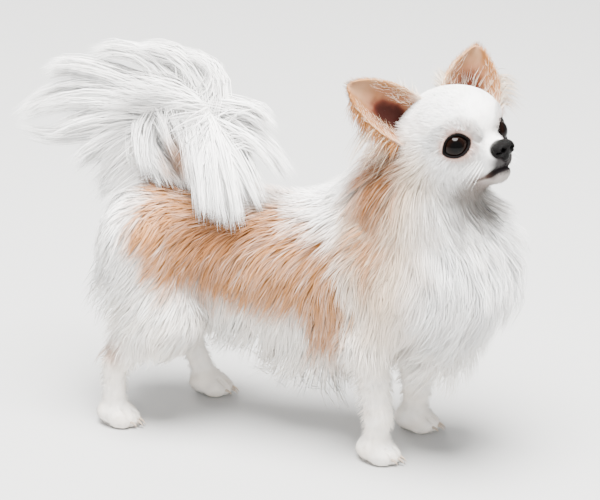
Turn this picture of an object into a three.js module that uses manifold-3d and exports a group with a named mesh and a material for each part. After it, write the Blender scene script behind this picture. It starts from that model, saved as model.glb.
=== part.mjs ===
// A long-haired chihuahua standing square with its head turned a little to its right, as a still, life-size figure.
// Millimetres, +X towards the nose, +Y to the dog's left, +Z up. The outer faces are those of the coat, out to the ends of its locks.
// The flesh and coat are one smooth distance field of ellipsoids and tapered rods, skinned with triangles and parted with thin cuts.
// The long locks, ears, eyes, nose and claws are shapes of their own, joined or fitted to it.
import * as THREE from "three";
import { mergeVertices } from "three/addons/utils/BufferGeometryUtils.js";
import Module from "manifold-3d";

// ---------- driving sizes ----------
const GAP = 0.4; // between two pieces that meet
const STEP = { trunk: 18.8, neck: 17, head: 9, leg: 11.8, paw: 6.8, tail: 15.2 }; // triangle size on each piece
const HEAD_AT = [119, -2, 236]; // middle of the skull
const HEAD_TURN = { yaw: -30, pitch: 13, roll: 3 }; // degrees: to its right, up, left side up
const EYE = { r: 9.6, ahead: 19.2, side: 17.6, up: -2 };
const FEET = { fr: [72, -30], fl: [82, 27], hr: [-123, -37], hl: [-80, 34] };
const FOOT_YAW = { fr: -6, fl: 4, hr: -4, hl: 6 };
const HOCK = { hr: 3, hl: -12 }; // how far the hock stands ahead of its foot
const COAT = { foreleg: 5.5, hindleg: 6, foot: 1.3, face: 2.4, tail: 7 }; // depth of hair over the flesh
const EARS = {
  right: { base: [-10, -25, 14], tip: [-24, -63, 50], half: 17.5, open: [0.8, -0.42, 0.3] },
  left: { base: [-5, 22, 16], tip: [-3, 37, 53], half: 21, open: [0.84, -0.42, 0.1] },
};
const EAR_THICK = 2.6;

// ---------- small vector helpers ----------
const V = (a) => new THREE.Vector3(...a);
const rad = THREE.MathUtils.degToRad;
// forward, left and up of a frame turned by yaw about Z, pitched up, then rolled so that its left side rises
function frameOf({ yaw = 0, pitch = 0, roll = 0 }) {
  const [y, p, r] = [rad(yaw), rad(pitch), rad(roll)];
  const f = V([Math.cos(y) * Math.cos(p), Math.sin(y) * Math.cos(p), Math.sin(p)]);
  const l0 = V([-Math.sin(y), Math.cos(y), 0]);
  const u0 = f.clone().cross(l0);
  const l = l0.clone().multiplyScalar(Math.cos(r)).addScaledVector(u0, Math.sin(r));
  return { f, l, u: f.clone().cross(l) };
}
const HEAD_FRAME = frameOf(HEAD_TURN);
const local = (F, at, x, y, z) => {
  const a = x - at[0], b = y - at[1], c = z - at[2];
  return [a * F.f.x + b * F.f.y + c * F.f.z, a * F.l.x + b * F.l.y + c * F.l.z, a * F.u.x + b * F.u.y + c * F.u.z];
};
const placed = (F, at, [a, b, c]) =>
  V(at).addScaledVector(F.f, a).addScaledVector(F.l, b).addScaledVector(F.u, c);
const headPoint = (p) => placed(HEAD_FRAME, HEAD_AT, p);

// ---------- distance shapes ----------
const clamp = (x, a, b) => Math.min(b, Math.max(a, x));
const blend = (a, b, k) => {
  const h = clamp(0.5 + (0.5 * (b - a)) / k, 0, 1);
  return b + (a - b) * h - k * h * (1 - h);
};
function rod(a, b, ra, rb, flat = 1) { // a tapered rod, narrowed across Y by flat
  const d = [b[0] - a[0], (b[1] - a[1]) / flat, b[2] - a[2]];
  const dd = d[0] ** 2 + d[1] ** 2 + d[2] ** 2, m = Math.min(1, flat);
  return (x, y, z) => {
    const q = [x - a[0], (y - a[1]) / flat, z - a[2]];
    const h = clamp((q[0] * d[0] + q[1] * d[1] + q[2] * d[2]) / dd, 0, 1);
    return (Math.hypot(q[0] - h * d[0], q[1] - h * d[1], q[2] - h * d[2]) - (ra + (rb - ra) * h)) * m;
  };
}
function egg(c, r, turn) { // an ellipsoid
  const F = turn ? frameOf(turn) : null;
  return (x, y, z) => {
    const q = F ? local(F, c, x, y, z) : [x - c[0], y - c[1], z - c[2]];
    const k0 = Math.hypot(q[0] / r[0], q[1] / r[1], q[2] / r[2]);
    const k1 = Math.hypot(q[0] / r[0] ** 2, q[1] / r[1] ** 2, q[2] / r[2] ** 2);
    return (k0 * (k0 - 1)) / Math.max(k1, 1e-9);
  };
}
const joined = (...list) => (x, y, z) => { // [shape, softness of the join], ...
  let d = list[0](x, y, z);
  for (let i = 1; i < list.length; i++) d = blend(d, list[i][0](x, y, z), list[i][1]);
  return d;
};
const inHead = (shape) => (x, y, z) => shape(...local(HEAD_FRAME, HEAD_AT, x, y, z));

// ---------- the dog ----------
const SIDES = [-1, 1];
const trunkForm = joined(
  egg([56, 0, 130], [62, 47, 56], { pitch: 12 }), // ribs and shoulders
  [egg([-10, 0, 133], [66, 43, 48]), 26],
  [egg([-70, 0, 140], [58, 42, 42]), 24], // loin
  [egg([-102, 0, 134], [32, 38, 42]), 14], // rump
  [rod([40, 0, 148], [84, 0, 166], 34, 38, 0.9), 22], // withers
  [egg([12, 0, 84], [54, 34, 47]), 18], // fringe of the belly
  [egg([-40, 0, 92], [36, 33, 34]), 16],
  ...SIDES.map((s) => [egg([-118, s * 22, 98], [27, 21, 38], { pitch: -12 }), 14]), // breeches
);
const neckForm = joined(
  rod([70, 0, 152], [101, -1, 214], 49, 38, 0.95),
  [egg([120, -2, 152], [53, 54, 56], { pitch: -14 }), 20], // ruff
  [egg([117, -2, 108], [33, 41, 52], { pitch: 14 }), 16],
  [egg([100, -4, 206], [42, 44, 34], { yaw: -20 }), 14],
);
const c = COAT.face;
const headForm = joined(
  inHead(egg([-2, 0, 2], [33.5 + c, 31.5 + c, 30 + c])), // domed skull
  [inHead(egg([10, 0, 7], [24 + c, 27 + c, 22 + c])), 8], // brow
  ...SIDES.flatMap((s) => [
    [inHead(egg([3, s * 17, -13], [20 + c, 13 + c, 15 + c])), 9], // cheek
    [inHead(egg([19, s * 14.5, -6], [11 + c, 9.5 + c, 9 + c])), 5], // below the eye
  ]),
  [inHead(rod([18, 0, -12], [37, 0, -11.5], 15 + c, 9.4 + c * 0.6, 1.08)), 7], // muzzle
  [inHead(rod([12, 0, -22], [36, 0, -22], 11 + c, 6.8 + c * 0.6, 1.15)), 5], // lower jaw
  ...SIDES.map((s) => [inHead(egg([-10, s * 24, -10], [21, 16, 24])), 10]), // cheek hair
  [inHead(egg([-16, 0, -2], [26, 34, 30])), 8],
);
function footForm(key) {
  const [x, y] = FEET[key], F = frameOf({ yaw: FOOT_YAW[key] }), k = COAT.foot;
  const at = (u, v, w) => placed(F, [x, y, 0], [u, v, w]).toArray();
  return joined(
    egg(at(4, 0, 9), [15 + k, 11.5 + k, 9.5 + k], { yaw: FOOT_YAW[key] }),
    ...[-7.6, -2.7, 2.7, 7.6].map((v) => [
      egg(at(Math.abs(v) < 5 ? 13 : 9.5, v, 6.3), [8.5 + k, 4.1 + k * 0.7, 6.2 + k], { yaw: FOOT_YAW[key] - v * 1.6, pitch: -14 }),
      2.5,
    ]),
  );
}
function foreleg(key) {
  const [x, y] = FEET[key], s = Math.sign(y), k = COAT.foreleg;
  const elbow = [69 + 0.3 * (x - 72), s * 32, 92], wrist = [x + 5, y, 34];
  return joined(
    rod([92, s * 27, 128], elbow, 23 + k * 0.6, 16 + k, 0.8),
    [rod(elbow, wrist, 13 + k * 1.1, 8.8 + k * 0.6), 12],
    [rod(wrist, [x + 3, y, 12], 8.6 + k * 0.6, 9 + k * 0.5), 6],
    [footForm(key), 5],
    [rod([x - 16, s * 32, 84], [x - 8, y, 42], 13, 8, 0.8), 8], // feathering
  );
}
function hindleg(key) {
  const [x, y] = FEET[key], s = Math.sign(y), k = COAT.hindleg;
  const stifle = [-80 + 0.35 * (x + 123), s * 34, 90], hock = [x + HOCK[key], y - s, 46];
  return joined(
    rod([-98, s * 24, 140], stifle, 30 + k * 0.7, 20 + k, 0.72),
    [rod(stifle, hock, 18 + k * 1.1, 8.4 + k * 0.7, 0.85), 14],
    [rod(hock, [x + 2, y, 12], 7.8 + k * 0.6, 8 + k * 0.5), 5],
    [footForm(key), 5],
  );
}
const LEGS = { fr: foreleg("fr"), fl: foreleg("fl"), hr: hindleg("hr"), hl: hindleg("hl") };
const coatForm = joined(
  trunkForm, [neckForm, 13],
  ...Object.values(LEGS).map((leg) => [leg, 12]),
  [headForm, 12],
);

// the tail: its dock curls up and forward over the back, and its brush falls behind it, above it and over the near flank
const DOCK = [[-98, 0, 150], [-108, 0, 182], [-109, -2, 212], [-95, -5, 236], [-70, -9, 243], [-48, -14, 229], [-39, -20, 202]];
const DOCK_R = [9, 3.5];
const BRUSH = [ // from, to, radius at each
  [[-100, -2, 205], [-126, -8, 178], 24, 10], [[-98, -3, 230], [-150, -6, 225], 27, 14], [[-84, -5, 240], [-56, -12, 238], 28, 26],
  [[-56, -14, 230], [-32, -14, 222], 26, 21], [[-52, -18, 214], [-38, -30, 173], 24, 16], [[-36, -14, 212], [-12, -12, 198], 22, 10],
  [[-97, 0, 190], [-62, -8, 198], 17, 18],
];
const dockR = (i) => DOCK_R[0] + ((DOCK_R[1] - DOCK_R[0]) * i) / (DOCK.length - 1) + COAT.tail;
const tailForm = joined(
  rod(DOCK[0], DOCK[1], dockR(0), dockR(1)),
  ...DOCK.slice(1, -1).map((p, i) => [rod(p, DOCK[i + 2], dockR(i + 1), dockR(i + 2)), 6]),
  ...BRUSH.map(([a, b, ra, rb]) => [rod(a, b, ra, rb, 0.8), 12]),
);

// ---------- skinning a distance shape with triangles: one vertex in each grid cell that the surface crosses ----------
function skinned(shape, lo, hi, step) {
  const n = [0, 1, 2].map((i) => Math.ceil((hi[i] - lo[i]) / step) + 2);
  const at = (i, j, k) => [lo[0] + (i - 0.5) * step, lo[1] + (j - 0.5) * step, lo[2] + (k - 0.5) * step];
  const id = (i, j, k) => (k * (n[1] + 1) + j) * (n[0] + 1) + i;
  const val = new Float64Array((n[0] + 1) * (n[1] + 1) * (n[2] + 1));
  for (let k = 0; k <= n[2]; k++) for (let j = 0; j <= n[1]; j++) for (let i = 0; i <= n[0]; i++) {
    const edge = !i || !j || !k || i === n[0] || j === n[1] || k === n[2];
    const d = shape(...at(i, j, k));
    val[id(i, j, k)] = edge ? Math.max(d, step * 0.5) : d || 1e-6;
  }
  // two samples that are inside and touch only across the diagonal of a square would pinch the skin, so the square is filled
  const squares = [[[1, 0, 0], [0, 1, 0]], [[1, 0, 0], [0, 0, 1]], [[0, 1, 0], [0, 0, 1]]];
  for (let round = 0, found = true; found && round < 20; round++) {
    found = false;
    for (let k = 1; k + 1 < n[2]; k++) for (let j = 1; j + 1 < n[1]; j++) for (let i = 1; i + 1 < n[0]; i++)
      for (const [a, b] of squares) {
        const q = [id(i, j, k), id(i + a[0], j + a[1], k + a[2]), id(i + a[0] + b[0], j + a[1] + b[1], k + a[2] + b[2]), id(i + b[0], j + b[1], k + b[2])];
        const s = q.map((e) => val[e] > 0);
        if (s[0] !== s[2] || s[1] !== s[3] || s[0] === s[1]) continue;
        const out = s[0] ? [q[0], q[2]] : [q[1], q[3]];
        val[val[out[0]] < val[out[1]] ? out[0] : out[1]] = -0.05 * step;
        found = true;
      }
  }
  const cell = new Int32Array(n[0] * n[1] * n[2]).fill(-1), pos = [];
  const cid = (i, j, k) => (k * n[1] + j) * n[0] + i;
  const corner = [0, 1, 2, 3, 4, 5, 6, 7].map((b) => [b & 1, (b >> 1) & 1, b >> 2]);
  const pairs = [[0, 1], [2, 3], [4, 5], [6, 7], [0, 2], [1, 3], [4, 6], [5, 7], [0, 4], [1, 5], [2, 6], [3, 7]];
  for (let k = 0; k < n[2]; k++) for (let j = 0; j < n[1]; j++) for (let i = 0; i < n[0]; i++) {
    const v = corner.map(([a, b, e]) => val[id(i + a, j + b, k + e)]);
    if (v.every((x) => x > 0) || v.every((x) => x <= 0)) continue;
    const sum = [0, 0, 0];
    let m = 0;
    for (const [a, b] of pairs) if (v[a] > 0 !== v[b] > 0) {
      const t = v[a] / (v[a] - v[b]);
      for (let e = 0; e < 3; e++) sum[e] += corner[a][e] + t * (corner[b][e] - corner[a][e]);
      m++;
    }
    const p = at(i, j, k).map((x, e) => x + (sum[e] / m) * step), h = 0.25;
    for (let round = 0; round < 2; round++) { // onto the surface
      const d = shape(...p);
      const g = [0, 1, 2].map((e) => { const a = [...p], b = [...p]; a[e] += h; b[e] -= h; return (shape(...a) - shape(...b)) / (2 * h); });
      const gg = Math.max(0.2, g[0] ** 2 + g[1] ** 2 + g[2] ** 2);
      for (let e = 0; e < 3; e++) p[e] -= clamp((d * g[e]) / gg, -0.3 * step, 0.3 * step);
    }
    cell[cid(i, j, k)] = pos.length / 3;
    pos.push(...p);
  }
  const index = [];
  const quad = (a, b, d, e, flip) => {
    const P = [a, b, d, e].map((q) => V(pos.slice(3 * q, 3 * q + 3)));
    const r = P[0].distanceTo(P[2]) <= P[1].distanceTo(P[3]) ? [a, b, d, a, d, e] : [b, d, e, b, e, a];
    if (flip) [r[1], r[2], r[4], r[5]] = [r[2], r[1], r[5], r[4]];
    index.push(...r);
  };
  for (let k = 0; k < n[2]; k++) for (let j = 0; j < n[1]; j++) for (let i = 0; i < n[0]; i++) {
    const a = val[id(i, j, k)];
    const bx = val[id(i + 1, j, k)], by = val[id(i, j + 1, k)], bz = val[id(i, j, k + 1)];
    if (a > 0 !== bx > 0) quad(cell[cid(i, j - 1, k - 1)], cell[cid(i, j, k - 1)], cell[cid(i, j, k)], cell[cid(i, j - 1, k)], a > 0);
    if (a > 0 !== by > 0) quad(cell[cid(i - 1, j, k - 1)], cell[cid(i - 1, j, k)], cell[cid(i, j, k)], cell[cid(i, j, k - 1)], a > 0);
    if (a > 0 !== bz > 0) quad(cell[cid(i - 1, j - 1, k)], cell[cid(i, j - 1, k)], cell[cid(i, j, k)], cell[cid(i - 1, j, k)], a > 0);
  }
  return new THREE.BufferGeometry().setAttribute("position", new THREE.Float32BufferAttribute(pos, 3)).setIndex(index);
}

// ---------- solids ----------
const wasm = await Module();
wasm.setup();
function solid(geometry, matrix) {
  const g = geometry.clone();
  g.deleteAttribute("normal");
  g.deleteAttribute("uv");
  if (matrix) g.applyMatrix4(matrix);
  const m = mergeVertices(g, 1e-4);
  return new wasm.Manifold(new wasm.Mesh({ numProp: 3, vertProperties: m.attributes.position.array, triVerts: new Uint32Array(m.index.array) }));
}
function skinnedSolid(shape, lo, hi, step) { // the grid is nudged if two sheets of it meet at a point
  for (let nudge = 0; nudge < 12; nudge++) {
    const o = nudge * step * 0.083;
    try {
      return solid(skinned(shape, lo.map((v) => v - o), hi, step));
    } catch (e) {
      if (nudge === 11) throw e;
    }
  }
}
const largest = (s) => s.decompose().sort((a, b) => b.volume() - a.volume())[0];
const basis = (F, at) => new THREE.Matrix4().makeBasis(F.f, F.l, F.u).setPosition(...at);
// everything on the side of a plane that its normal points to
function halfSpace(point, normal, shift = 0) {
  const n = V(normal).normalize();
  const q = new THREE.Quaternion().setFromUnitVectors(V([0, 0, 1]), n);
  const m = new THREE.Matrix4().compose(V(point).addScaledVector(n, 600 + shift), q, V([1, 1, 1]));
  return solid(new THREE.BoxGeometry(1200, 1200, 1200), m);
}
// a tapered drum from one point to another
function drum(a, b, ra, rb, sides = 14) {
  const d = V(b).sub(V(a)), q = new THREE.Quaternion().setFromUnitVectors(V([0, 1, 0]), d.clone().normalize());
  const m = new THREE.Matrix4().compose(V(a).addScaledVector(d, 0.5), q, V([1, 1, 1]));
  return solid(new THREE.CylinderGeometry(rb, ra, d.length(), sides), m);
}
// a lock of hair: an oval tube that bends from its root to its end and runs out to a point
function lock(root, bend, end, wide, thick, side = [0, 1, 0], rings = 4, sides = 5) {
  const curve = new THREE.QuadraticBezierCurve3(V(root), V(bend), V(end));
  const pos = [], index = [];
  pos.push(...root);
  for (let i = 0; i < rings; i++) {
    const t = i / rings, p = curve.getPoint(t), dir = curve.getTangent(t);
    const across = V(side).addScaledVector(dir, -V(side).dot(dir)).normalize(), out = dir.clone().cross(across);
    const size = Math.pow(1 - t, 0.75) * (0.72 + 0.28 * Math.sin(Math.PI * Math.min(1, t * 2.2)));
    for (let j = 0; j < sides; j++) {
      const a = (2 * Math.PI * j) / sides;
      const v = p.clone().addScaledVector(across, Math.cos(a) * thick * size).addScaledVector(out, Math.sin(a) * wide * size);
      pos.push(v.x, v.y, v.z);
    }
  }
  const tip = pos.length / 3;
  pos.push(...end);
  const at = (i, j) => 1 + i * sides + (j % sides);
  for (let j = 0; j < sides; j++) {
    index.push(0, at(0, j + 1), at(0, j), tip, at(rings - 1, j), at(rings - 1, j + 1));
    for (let i = 0; i + 1 < rings; i++) index.push(at(i, j), at(i, j + 1), at(i + 1, j + 1), at(i, j), at(i + 1, j + 1), at(i + 1, j));
  }
  const s = solid(new THREE.BufferGeometry().setAttribute("position", new THREE.Float32BufferAttribute(pos, 3)).setIndex(index));
  if (s.volume() > 0) return s;
  for (let i = 0; i < index.length; i += 3) [index[i + 1], index[i + 2]] = [index[i + 2], index[i + 1]];
  return solid(new THREE.BufferGeometry().setAttribute("position", new THREE.Float32BufferAttribute(pos, 3)).setIndex(index));
}
// the leaf of an ear: a flattened ball drawn out to the leaf's outline and hollowed towards its opening
function earLeaf({ base, tip, half, open }) {
  const b = V(base), axis = V(tip).sub(b), L = axis.length();
  axis.normalize();
  const n = V(open).addScaledVector(axis, -V(open).dot(axis)).normalize(), wide = n.clone().cross(axis);
  const g = mergeVertices(Object.assign(new THREE.SphereGeometry(1, 12, 9)).deleteAttribute("normal").deleteAttribute("uv"), 1e-4);
  const p = g.attributes.position;
  for (let i = 0; i < p.count; i++) {
    const [x, y, z] = [p.getX(i), p.getY(i), p.getZ(i)]; // y along the leaf, x across it, z through it
    const k = clamp((1 + y) / 2, 0, 1), h = -0.16 + 1.16 * k;
    const kk = clamp(h, 0, 1), outline = half * (h < 0 ? 1 + 0.35 * h : Math.pow(1 - Math.pow(kk, 1.9), 0.75) * (1 + 0.08 * Math.sin(Math.PI * kk)));
    const ring = Math.max(Math.sqrt(Math.max(0, 1 - y * y)), 1e-6);
    const across = clamp(x / ring, -1, 1), u = across * Math.max(outline, 0.6) * (k < 0.02 || k > 0.98 ? ring * 3 : 1);
    const deep = clamp(1 - h, 0, 1.25), back = -(3 + 11 * Math.pow(deep, 1.2)) * (1 - across * across);
    const w = back + (z / ring) * EAR_THICK * Math.sqrt(Math.max(0.12, 1 - across * across)) * (ring < 1e-5 ? 0 : 1);
    const v = headPoint(b.clone().addScaledVector(axis, h * L).addScaledVector(wide, u).addScaledVector(n, w).toArray());
    p.setXYZ(i, v.x, v.y, v.z);
  }
  const s = solid(g);
  if (s.volume() > 0) return s;
  const t = g.index.array;
  for (let i = 0; i < t.length; i += 3) [t[i + 1], t[i + 2]] = [t[i + 2], t[i + 1]];
  return solid(g);
}

// planes and drums that part the body
const HEAD_CUT = { at: headPoint([-10, 0, -22]).toArray(), n: placed(HEAD_FRAME, [0, 0, 0], [0.42, 0, 0.91]).toArray() };
const NECK_CUT = { at: [66, 0, 150], n: [0.93, 0, 0.37] };
const legDrum = (key, grow) => {
  const [x, y] = FEET[key], s = Math.sign(y);
  const fore = key[0] === "f";
  const top = fore ? [68 + 0.3 * (x - 72), s * 33, 80 + grow] : [-101 + 0.4 * (x + 123), s * 34, 112 + grow];
  const d = drum([x, y, -30], top, (fore ? 29 : 34) + grow, (fore ? 28 : 41) + grow);
  return d.intersect(halfSpace([0, s * (0.5 + GAP / 2 - grow), 0], [0, s, 0]));
};
const allDrums = (grow) => ["fr", "fl", "hr", "hl"].map((k) => legDrum(k, grow));
const floor = halfSpace([0, 0, 0], [0, 0, 1]);

const body = skinnedSolid(coatForm, [-165, -66, 20], [185, 66, 290], STEP.trunk);
const bodyFine = skinnedSolid(coatForm, [20, -72, 30], [190, 68, 262], STEP.neck);
const headFine = skinnedSolid(coatForm, [66, -58, 182], [178, 50, 284], STEP.head);

let trunk = body.subtract(halfSpace(NECK_CUT.at, NECK_CUT.n, 0)).intersect(floor);
let neck = bodyFine.intersect(halfSpace(NECK_CUT.at, NECK_CUT.n, GAP)).subtract(halfSpace(HEAD_CUT.at, HEAD_CUT.n, 0));
let head = headFine.intersect(halfSpace(HEAD_CUT.at, HEAD_CUT.n, GAP));

// locks that break the outline: ends of the ruff, the belly fringe, the breeches and the cheeks
const ruffLocks = [-26, -4, 20].map((y, i) =>
  lock([116, y * 0.7, 88], [126, y, 68], [124 - (i % 2) * 4, y, 47 + (i % 2) * 3], 19, 13)).concat([-34, -12, 14, 36].map((y, i) =>
  lock([144 - Math.abs(y) * 0.5, y * 0.8, 122], [160 - Math.abs(y) * 0.55, y, 98], [152 - Math.abs(y) * 0.6, y, 66 + (i % 2) * 6], 20, 12)));
const bellyLocks = [-32, -6, 24].flatMap((x, i) => SIDES.map((s) =>
  lock([x, s * 18, 76], [x - 2, s * 25, 56], [x - 8, s * 22, [46, 34, 32][i]], 20, 11)));
const breechLocks = SIDES.map((s) => lock([-126, s * 20, 108], [-146, s * 22, 94], [-148, s * 22, 64], 19, 13));
trunk = [...bellyLocks, ...breechLocks].reduce((a, b) => a.add(b), trunk);
neck = ruffLocks.reduce((a, b) => a.add(b), neck).subtract(halfSpace(NECK_CUT.at, NECK_CUT.n, 0).intersect(halfSpace(NECK_CUT.at, NECK_CUT.n.map((v) => -v), -GAP)));
neck = neck.intersect(halfSpace(NECK_CUT.at, NECK_CUT.n, GAP));
trunk = trunk.subtract(halfSpace(NECK_CUT.at, NECK_CUT.n, 0));

// legs
const legs = {};
for (const key of ["fr", "fl", "hr", "hl"]) {
  const [x, y] = FEET[key];
  const top = skinnedSolid(coatForm, [x - 62, y - 46, 16], [x + 70, y + 46, 134], STEP.leg).intersect(halfSpace([0, 0, 26], [0, 0, 1]));
  const foot = skinnedSolid((a, b, d) => coatForm(a, b, Math.abs(d) < 1e9 ? d : d), [x - 34, y - 22, -8], [x + 36, y + 22, 34], STEP.paw)
    .subtract(halfSpace([0, 0, 26.6], [0, 0, 1])).intersect(floor);
  legs[key] = largest(largest(top.intersect(legDrum(key, 0))).add(largest(foot.intersect(legDrum(key, 0)))));
}
for (const d of allDrums(GAP)) {
  trunk = trunk.subtract(d);
  neck = neck.subtract(d);
}
trunk = largest(trunk);
neck = largest(neck);

// tail, fitted to the back
const backForm = (x, y, z) => coatForm(x, y, z) - GAP - 0.5;
const back = skinnedSolid(backForm, [-165, -66, 20], [185, 66, 290], STEP.trunk);
const brushLocks = [ // root, bend, end, half width, half thickness
  [[-106, -3, 232], [-164, -3, 248], [-207, 1, 210], 17, 10], [[-108, -5, 222], [-160, -7, 224], [-200, -5, 196], 16, 10],
  [[-92, -3, 242], [-144, 0, 264], [-188, 4, 246], 15, 9], [[-82, -5, 248], [-112, -2, 270], [-146, 3, 263], 15, 8],
  [[-106, -6, 198], [-134, -8, 186], [-140, -10, 160], 15, 10], [[-112, -6, 214], [-148, -8, 212], [-170, -10, 188], 15, 10],
  [[-40, -14, 212], [-14, -12, 210], [5, -12, 194], 17, 10], [[-44, -12, 230], [-18, -10, 238], [-2, -8, 222], 15, 9],
  [[-42, -28, 184], [-36, -34, 168], [-35, -31, 150], 17, 10],
];
let tail = skinnedSolid(tailForm, [-180, -60, 130], [20, 40, 290], STEP.tail);
tail = brushLocks.reduce((a, [r, b, e, w, t]) => a.add(lock(r, b, e, w, t)), tail);
tail = largest(tail.subtract(back));
const TAIL_CUT = { at: [-104, 0, 196], n: [-0.25, 0, 1] };
const tailNear = halfSpace([-78, 0, 0], [-1, 0, 0]).intersect(halfSpace([-121, 0, 0], [1, 0, 0]));
let tailBase = largest(tail.subtract(halfSpace(TAIL_CUT.at, TAIL_CUT.n, 0)).intersect(tailNear));
let brush = largest(tail.subtract(halfSpace(TAIL_CUT.at, TAIL_CUT.n.map((v) => -v), -GAP).intersect(halfSpace([-78, 0, 0], [-1, 0, 0], -GAP)).intersect(halfSpace([-121, 0, 0], [1, 0, 0], -GAP))));

// face: nose, jaw, eyes
const noseShape = inHead(joined(egg([45.2, 0, -7.4], [5.4, 8.4, 5.8]), [egg([46.3, 0, -12.2], [3.6, 4.2, 5]), 2], ...SIDES.map((s) => [egg([44.6, s * 4.8, -8.6], [5, 4, 4.5]), 2])));
const at0 = (p, r) => [p.toArray().map((v) => v - r), p.toArray().map((v) => v + r)];
const noseBox = at0(headPoint([45, 0, -8.5]), 15);
let nose = skinnedSolid(noseShape, ...noseBox, 3.3);
for (const s of SIDES) {
  const mouthOf = headPoint([52.5, s * 4.9, -8.8]).toArray(), inner = headPoint([44.5, s * 3, -8]).toArray();
  nose = nose.subtract(drum(inner, mouthOf, 0.7, 1.9, 8));
}
const noseGrown = skinnedSolid((x, y, z) => noseShape(x, y, z) - GAP - 0.3, ...noseBox, 3.3);
const eyeAt = (s) => headPoint([EYE.ahead, s * EYE.side, EYE.up]).toArray();
const eyeOut = (s) => headPoint([EYE.ahead + 20, s * (EYE.side + 13), EYE.up + 1]).toArray();
const eyes = {};
for (const [name, s] of [["right", -1], ["left", 1]]) {
  const m = new THREE.Matrix4().setPosition(...eyeAt(s));
  eyes[name] = solid(new THREE.SphereGeometry(EYE.r, 13, 8), m);
  head = head.subtract(solid(new THREE.SphereGeometry(EYE.r + GAP + 0.3, 12, 8), m)).subtract(drum(eyeAt(s), eyeOut(s), EYE.r - 2.2, EYE.r - 0.4, 12));
}
head = head.subtract(noseGrown);
const LIP = { at: headPoint([46, 0, -20.5]).toArray(), n: placed(HEAD_FRAME, [0, 0, 0], [0.2, 0, -1]).toArray() };
const jawBlock = (grow) => [[[20, 0, -20], [1, 0, 0.2]], [[0, 15.5, 0], [0, -1, 0]], [[0, -15.5, 0], [0, 1, 0]]].reduce(
  (a, [at, n]) => a.intersect(halfSpace(headPoint(at).toArray(), placed(HEAD_FRAME, [0, 0, 0], n).toArray(), -grow)), halfSpace(LIP.at, LIP.n, -grow));
let jaw = largest(head.intersect(jawBlock(0)));
head = largest(head.subtract(jawBlock(GAP)));
nose = largest(nose);

// ears
const headGrown = skinnedSolid((x, y, z) => coatForm(x, y, z) - GAP - 0.3, [66, -58, 182], [178, 50, 284], STEP.head);
const ears = {};
for (const name of ["right", "left"]) {
  const e = EARS[name], s = name === "right" ? -1 : 1;
  let leaf = earLeaf(e);
  // long hair from the lower edge of each leaf
  const hair = [[-16, 30, 14], [-19, 37, 2], [-18, 34, -12]].map(([u, v, w], i) =>
    lock(headPoint([-12, s * 24, 15 - i * 2]).toArray(), headPoint([u - 1, s * (v + 4), w + 3]).toArray(), headPoint([u - 5, s * (v + 9), w - 8]).toArray(), 6, 4));
  leaf = hair.reduce((a, b) => a.add(b), leaf);
  ears[name] = largest(leaf.subtract(headGrown).subtract(back));
  head = head.subtract(ears[name]);
}
neck = largest(neck);
head = largest(head);

// claws
const claws = {};
for (const key of ["fr", "fl", "hr", "hl"]) {
  const [x, y] = FEET[key];
  [-7.6, -2.7, 2.7, 7.6].forEach((v, i) => {
    const F = frameOf({ yaw: FOOT_YAW[key] - v * 1.6 }), u = Math.abs(v) < 5 ? 13 : 9.5;
    const base = placed(frameOf({ yaw: FOOT_YAW[key] }), [x, y, 0], [u, v, 5.4]).toArray();
    const root = placed(F, base, [6, 0, 0]).toArray(), mid = placed(F, base, [11.5, 0, 0.6]).toArray(), end = placed(F, base, [13.6, 0, -4.2]).toArray();
    const whole = lock(root, mid, end, 1.6, 1.3, F.l.toArray(), 3, 4);
    claws[`claw_${key}_${i + 1}`] = { whole, key };
  });
}
for (const [name, { whole, key }] of Object.entries(claws)) {
  claws[name].solid = largest(whole.subtract(skinnedClawCut(key)));
}
function skinnedClawCut(key) {
  skinnedClawCut.made ??= {};
  const [x, y] = FEET[key];
  return (skinnedClawCut.made[key] ??= skinnedSolid((a, b, d) => coatForm(a, b, d) - GAP - 0.1, [x - 34, y - 22, -8], [x + 36, y + 22, 34], STEP.paw));
}

// ---------- scene graph ----------
const WHITE = "#efe9e0", FAWN = "#c99770", DARK = "#171311", HORN = "#cdbfae";
const finish = {
  coat: { color: WHITE, roughness: 0.9, metalness: 0 }, fawn: { color: FAWN, roughness: 0.9, metalness: 0 },
  eye: { color: "#2a140c", roughness: 0.08, metalness: 0 }, nose: { color: DARK, roughness: 0.45, metalness: 0 }, claw: { color: HORN, roughness: 0.4, metalness: 0 },
};
const root = new THREE.Group();
function put(name, s, look) {
  const m = s.getMesh(), v = new Float32Array(m.numVert * 3);
  for (let i = 0; i < m.numVert; i++) v.set(m.vertProperties.subarray(i * m.numProp, i * m.numProp + 3), i * 3);
  const g = new THREE.BufferGeometry().setAttribute("position", new THREE.BufferAttribute(v, 3)).setIndex(new THREE.BufferAttribute(m.triVerts, 1));
  g.computeVertexNormals();
  const mesh = new THREE.Mesh(g, new THREE.MeshStandardMaterial(finish[look]));
  mesh.name = name;
  root.add(mesh);
}
put("trunk", trunk, "fawn");
put("neck", neck, "coat");
put("head", head, "coat");
put("jaw", jaw, "coat");
put("nose", nose, "nose");
for (const side of ["right", "left"]) {
  put(`ear_${side}`, ears[side], "fawn");
  put(`eye_${side}`, eyes[side], "eye");
}
put("foreleg_right", legs.fr, "coat");
put("foreleg_left", legs.fl, "coat");
put("hindleg_right", legs.hr, "coat");
put("hindleg_left", legs.hl, "coat");
put("tail_base", tailBase, "fawn");
put("tail_brush", brush, "coat");
for (const [name, { solid: s }] of Object.entries(claws)) put(name, s, "claw");

// the origin is on the floor, under the middle of the whole figure
const box = new THREE.Box3().setFromObject(root);
const mid = box.getCenter(new THREE.Vector3());
root.position.set(-mid.x, -mid.y, -box.min.z);

export default root;
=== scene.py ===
import math

import bpy
import numpy as np
from mathutils import Matrix, Vector
from mathutils.kdtree import KDTree


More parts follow.
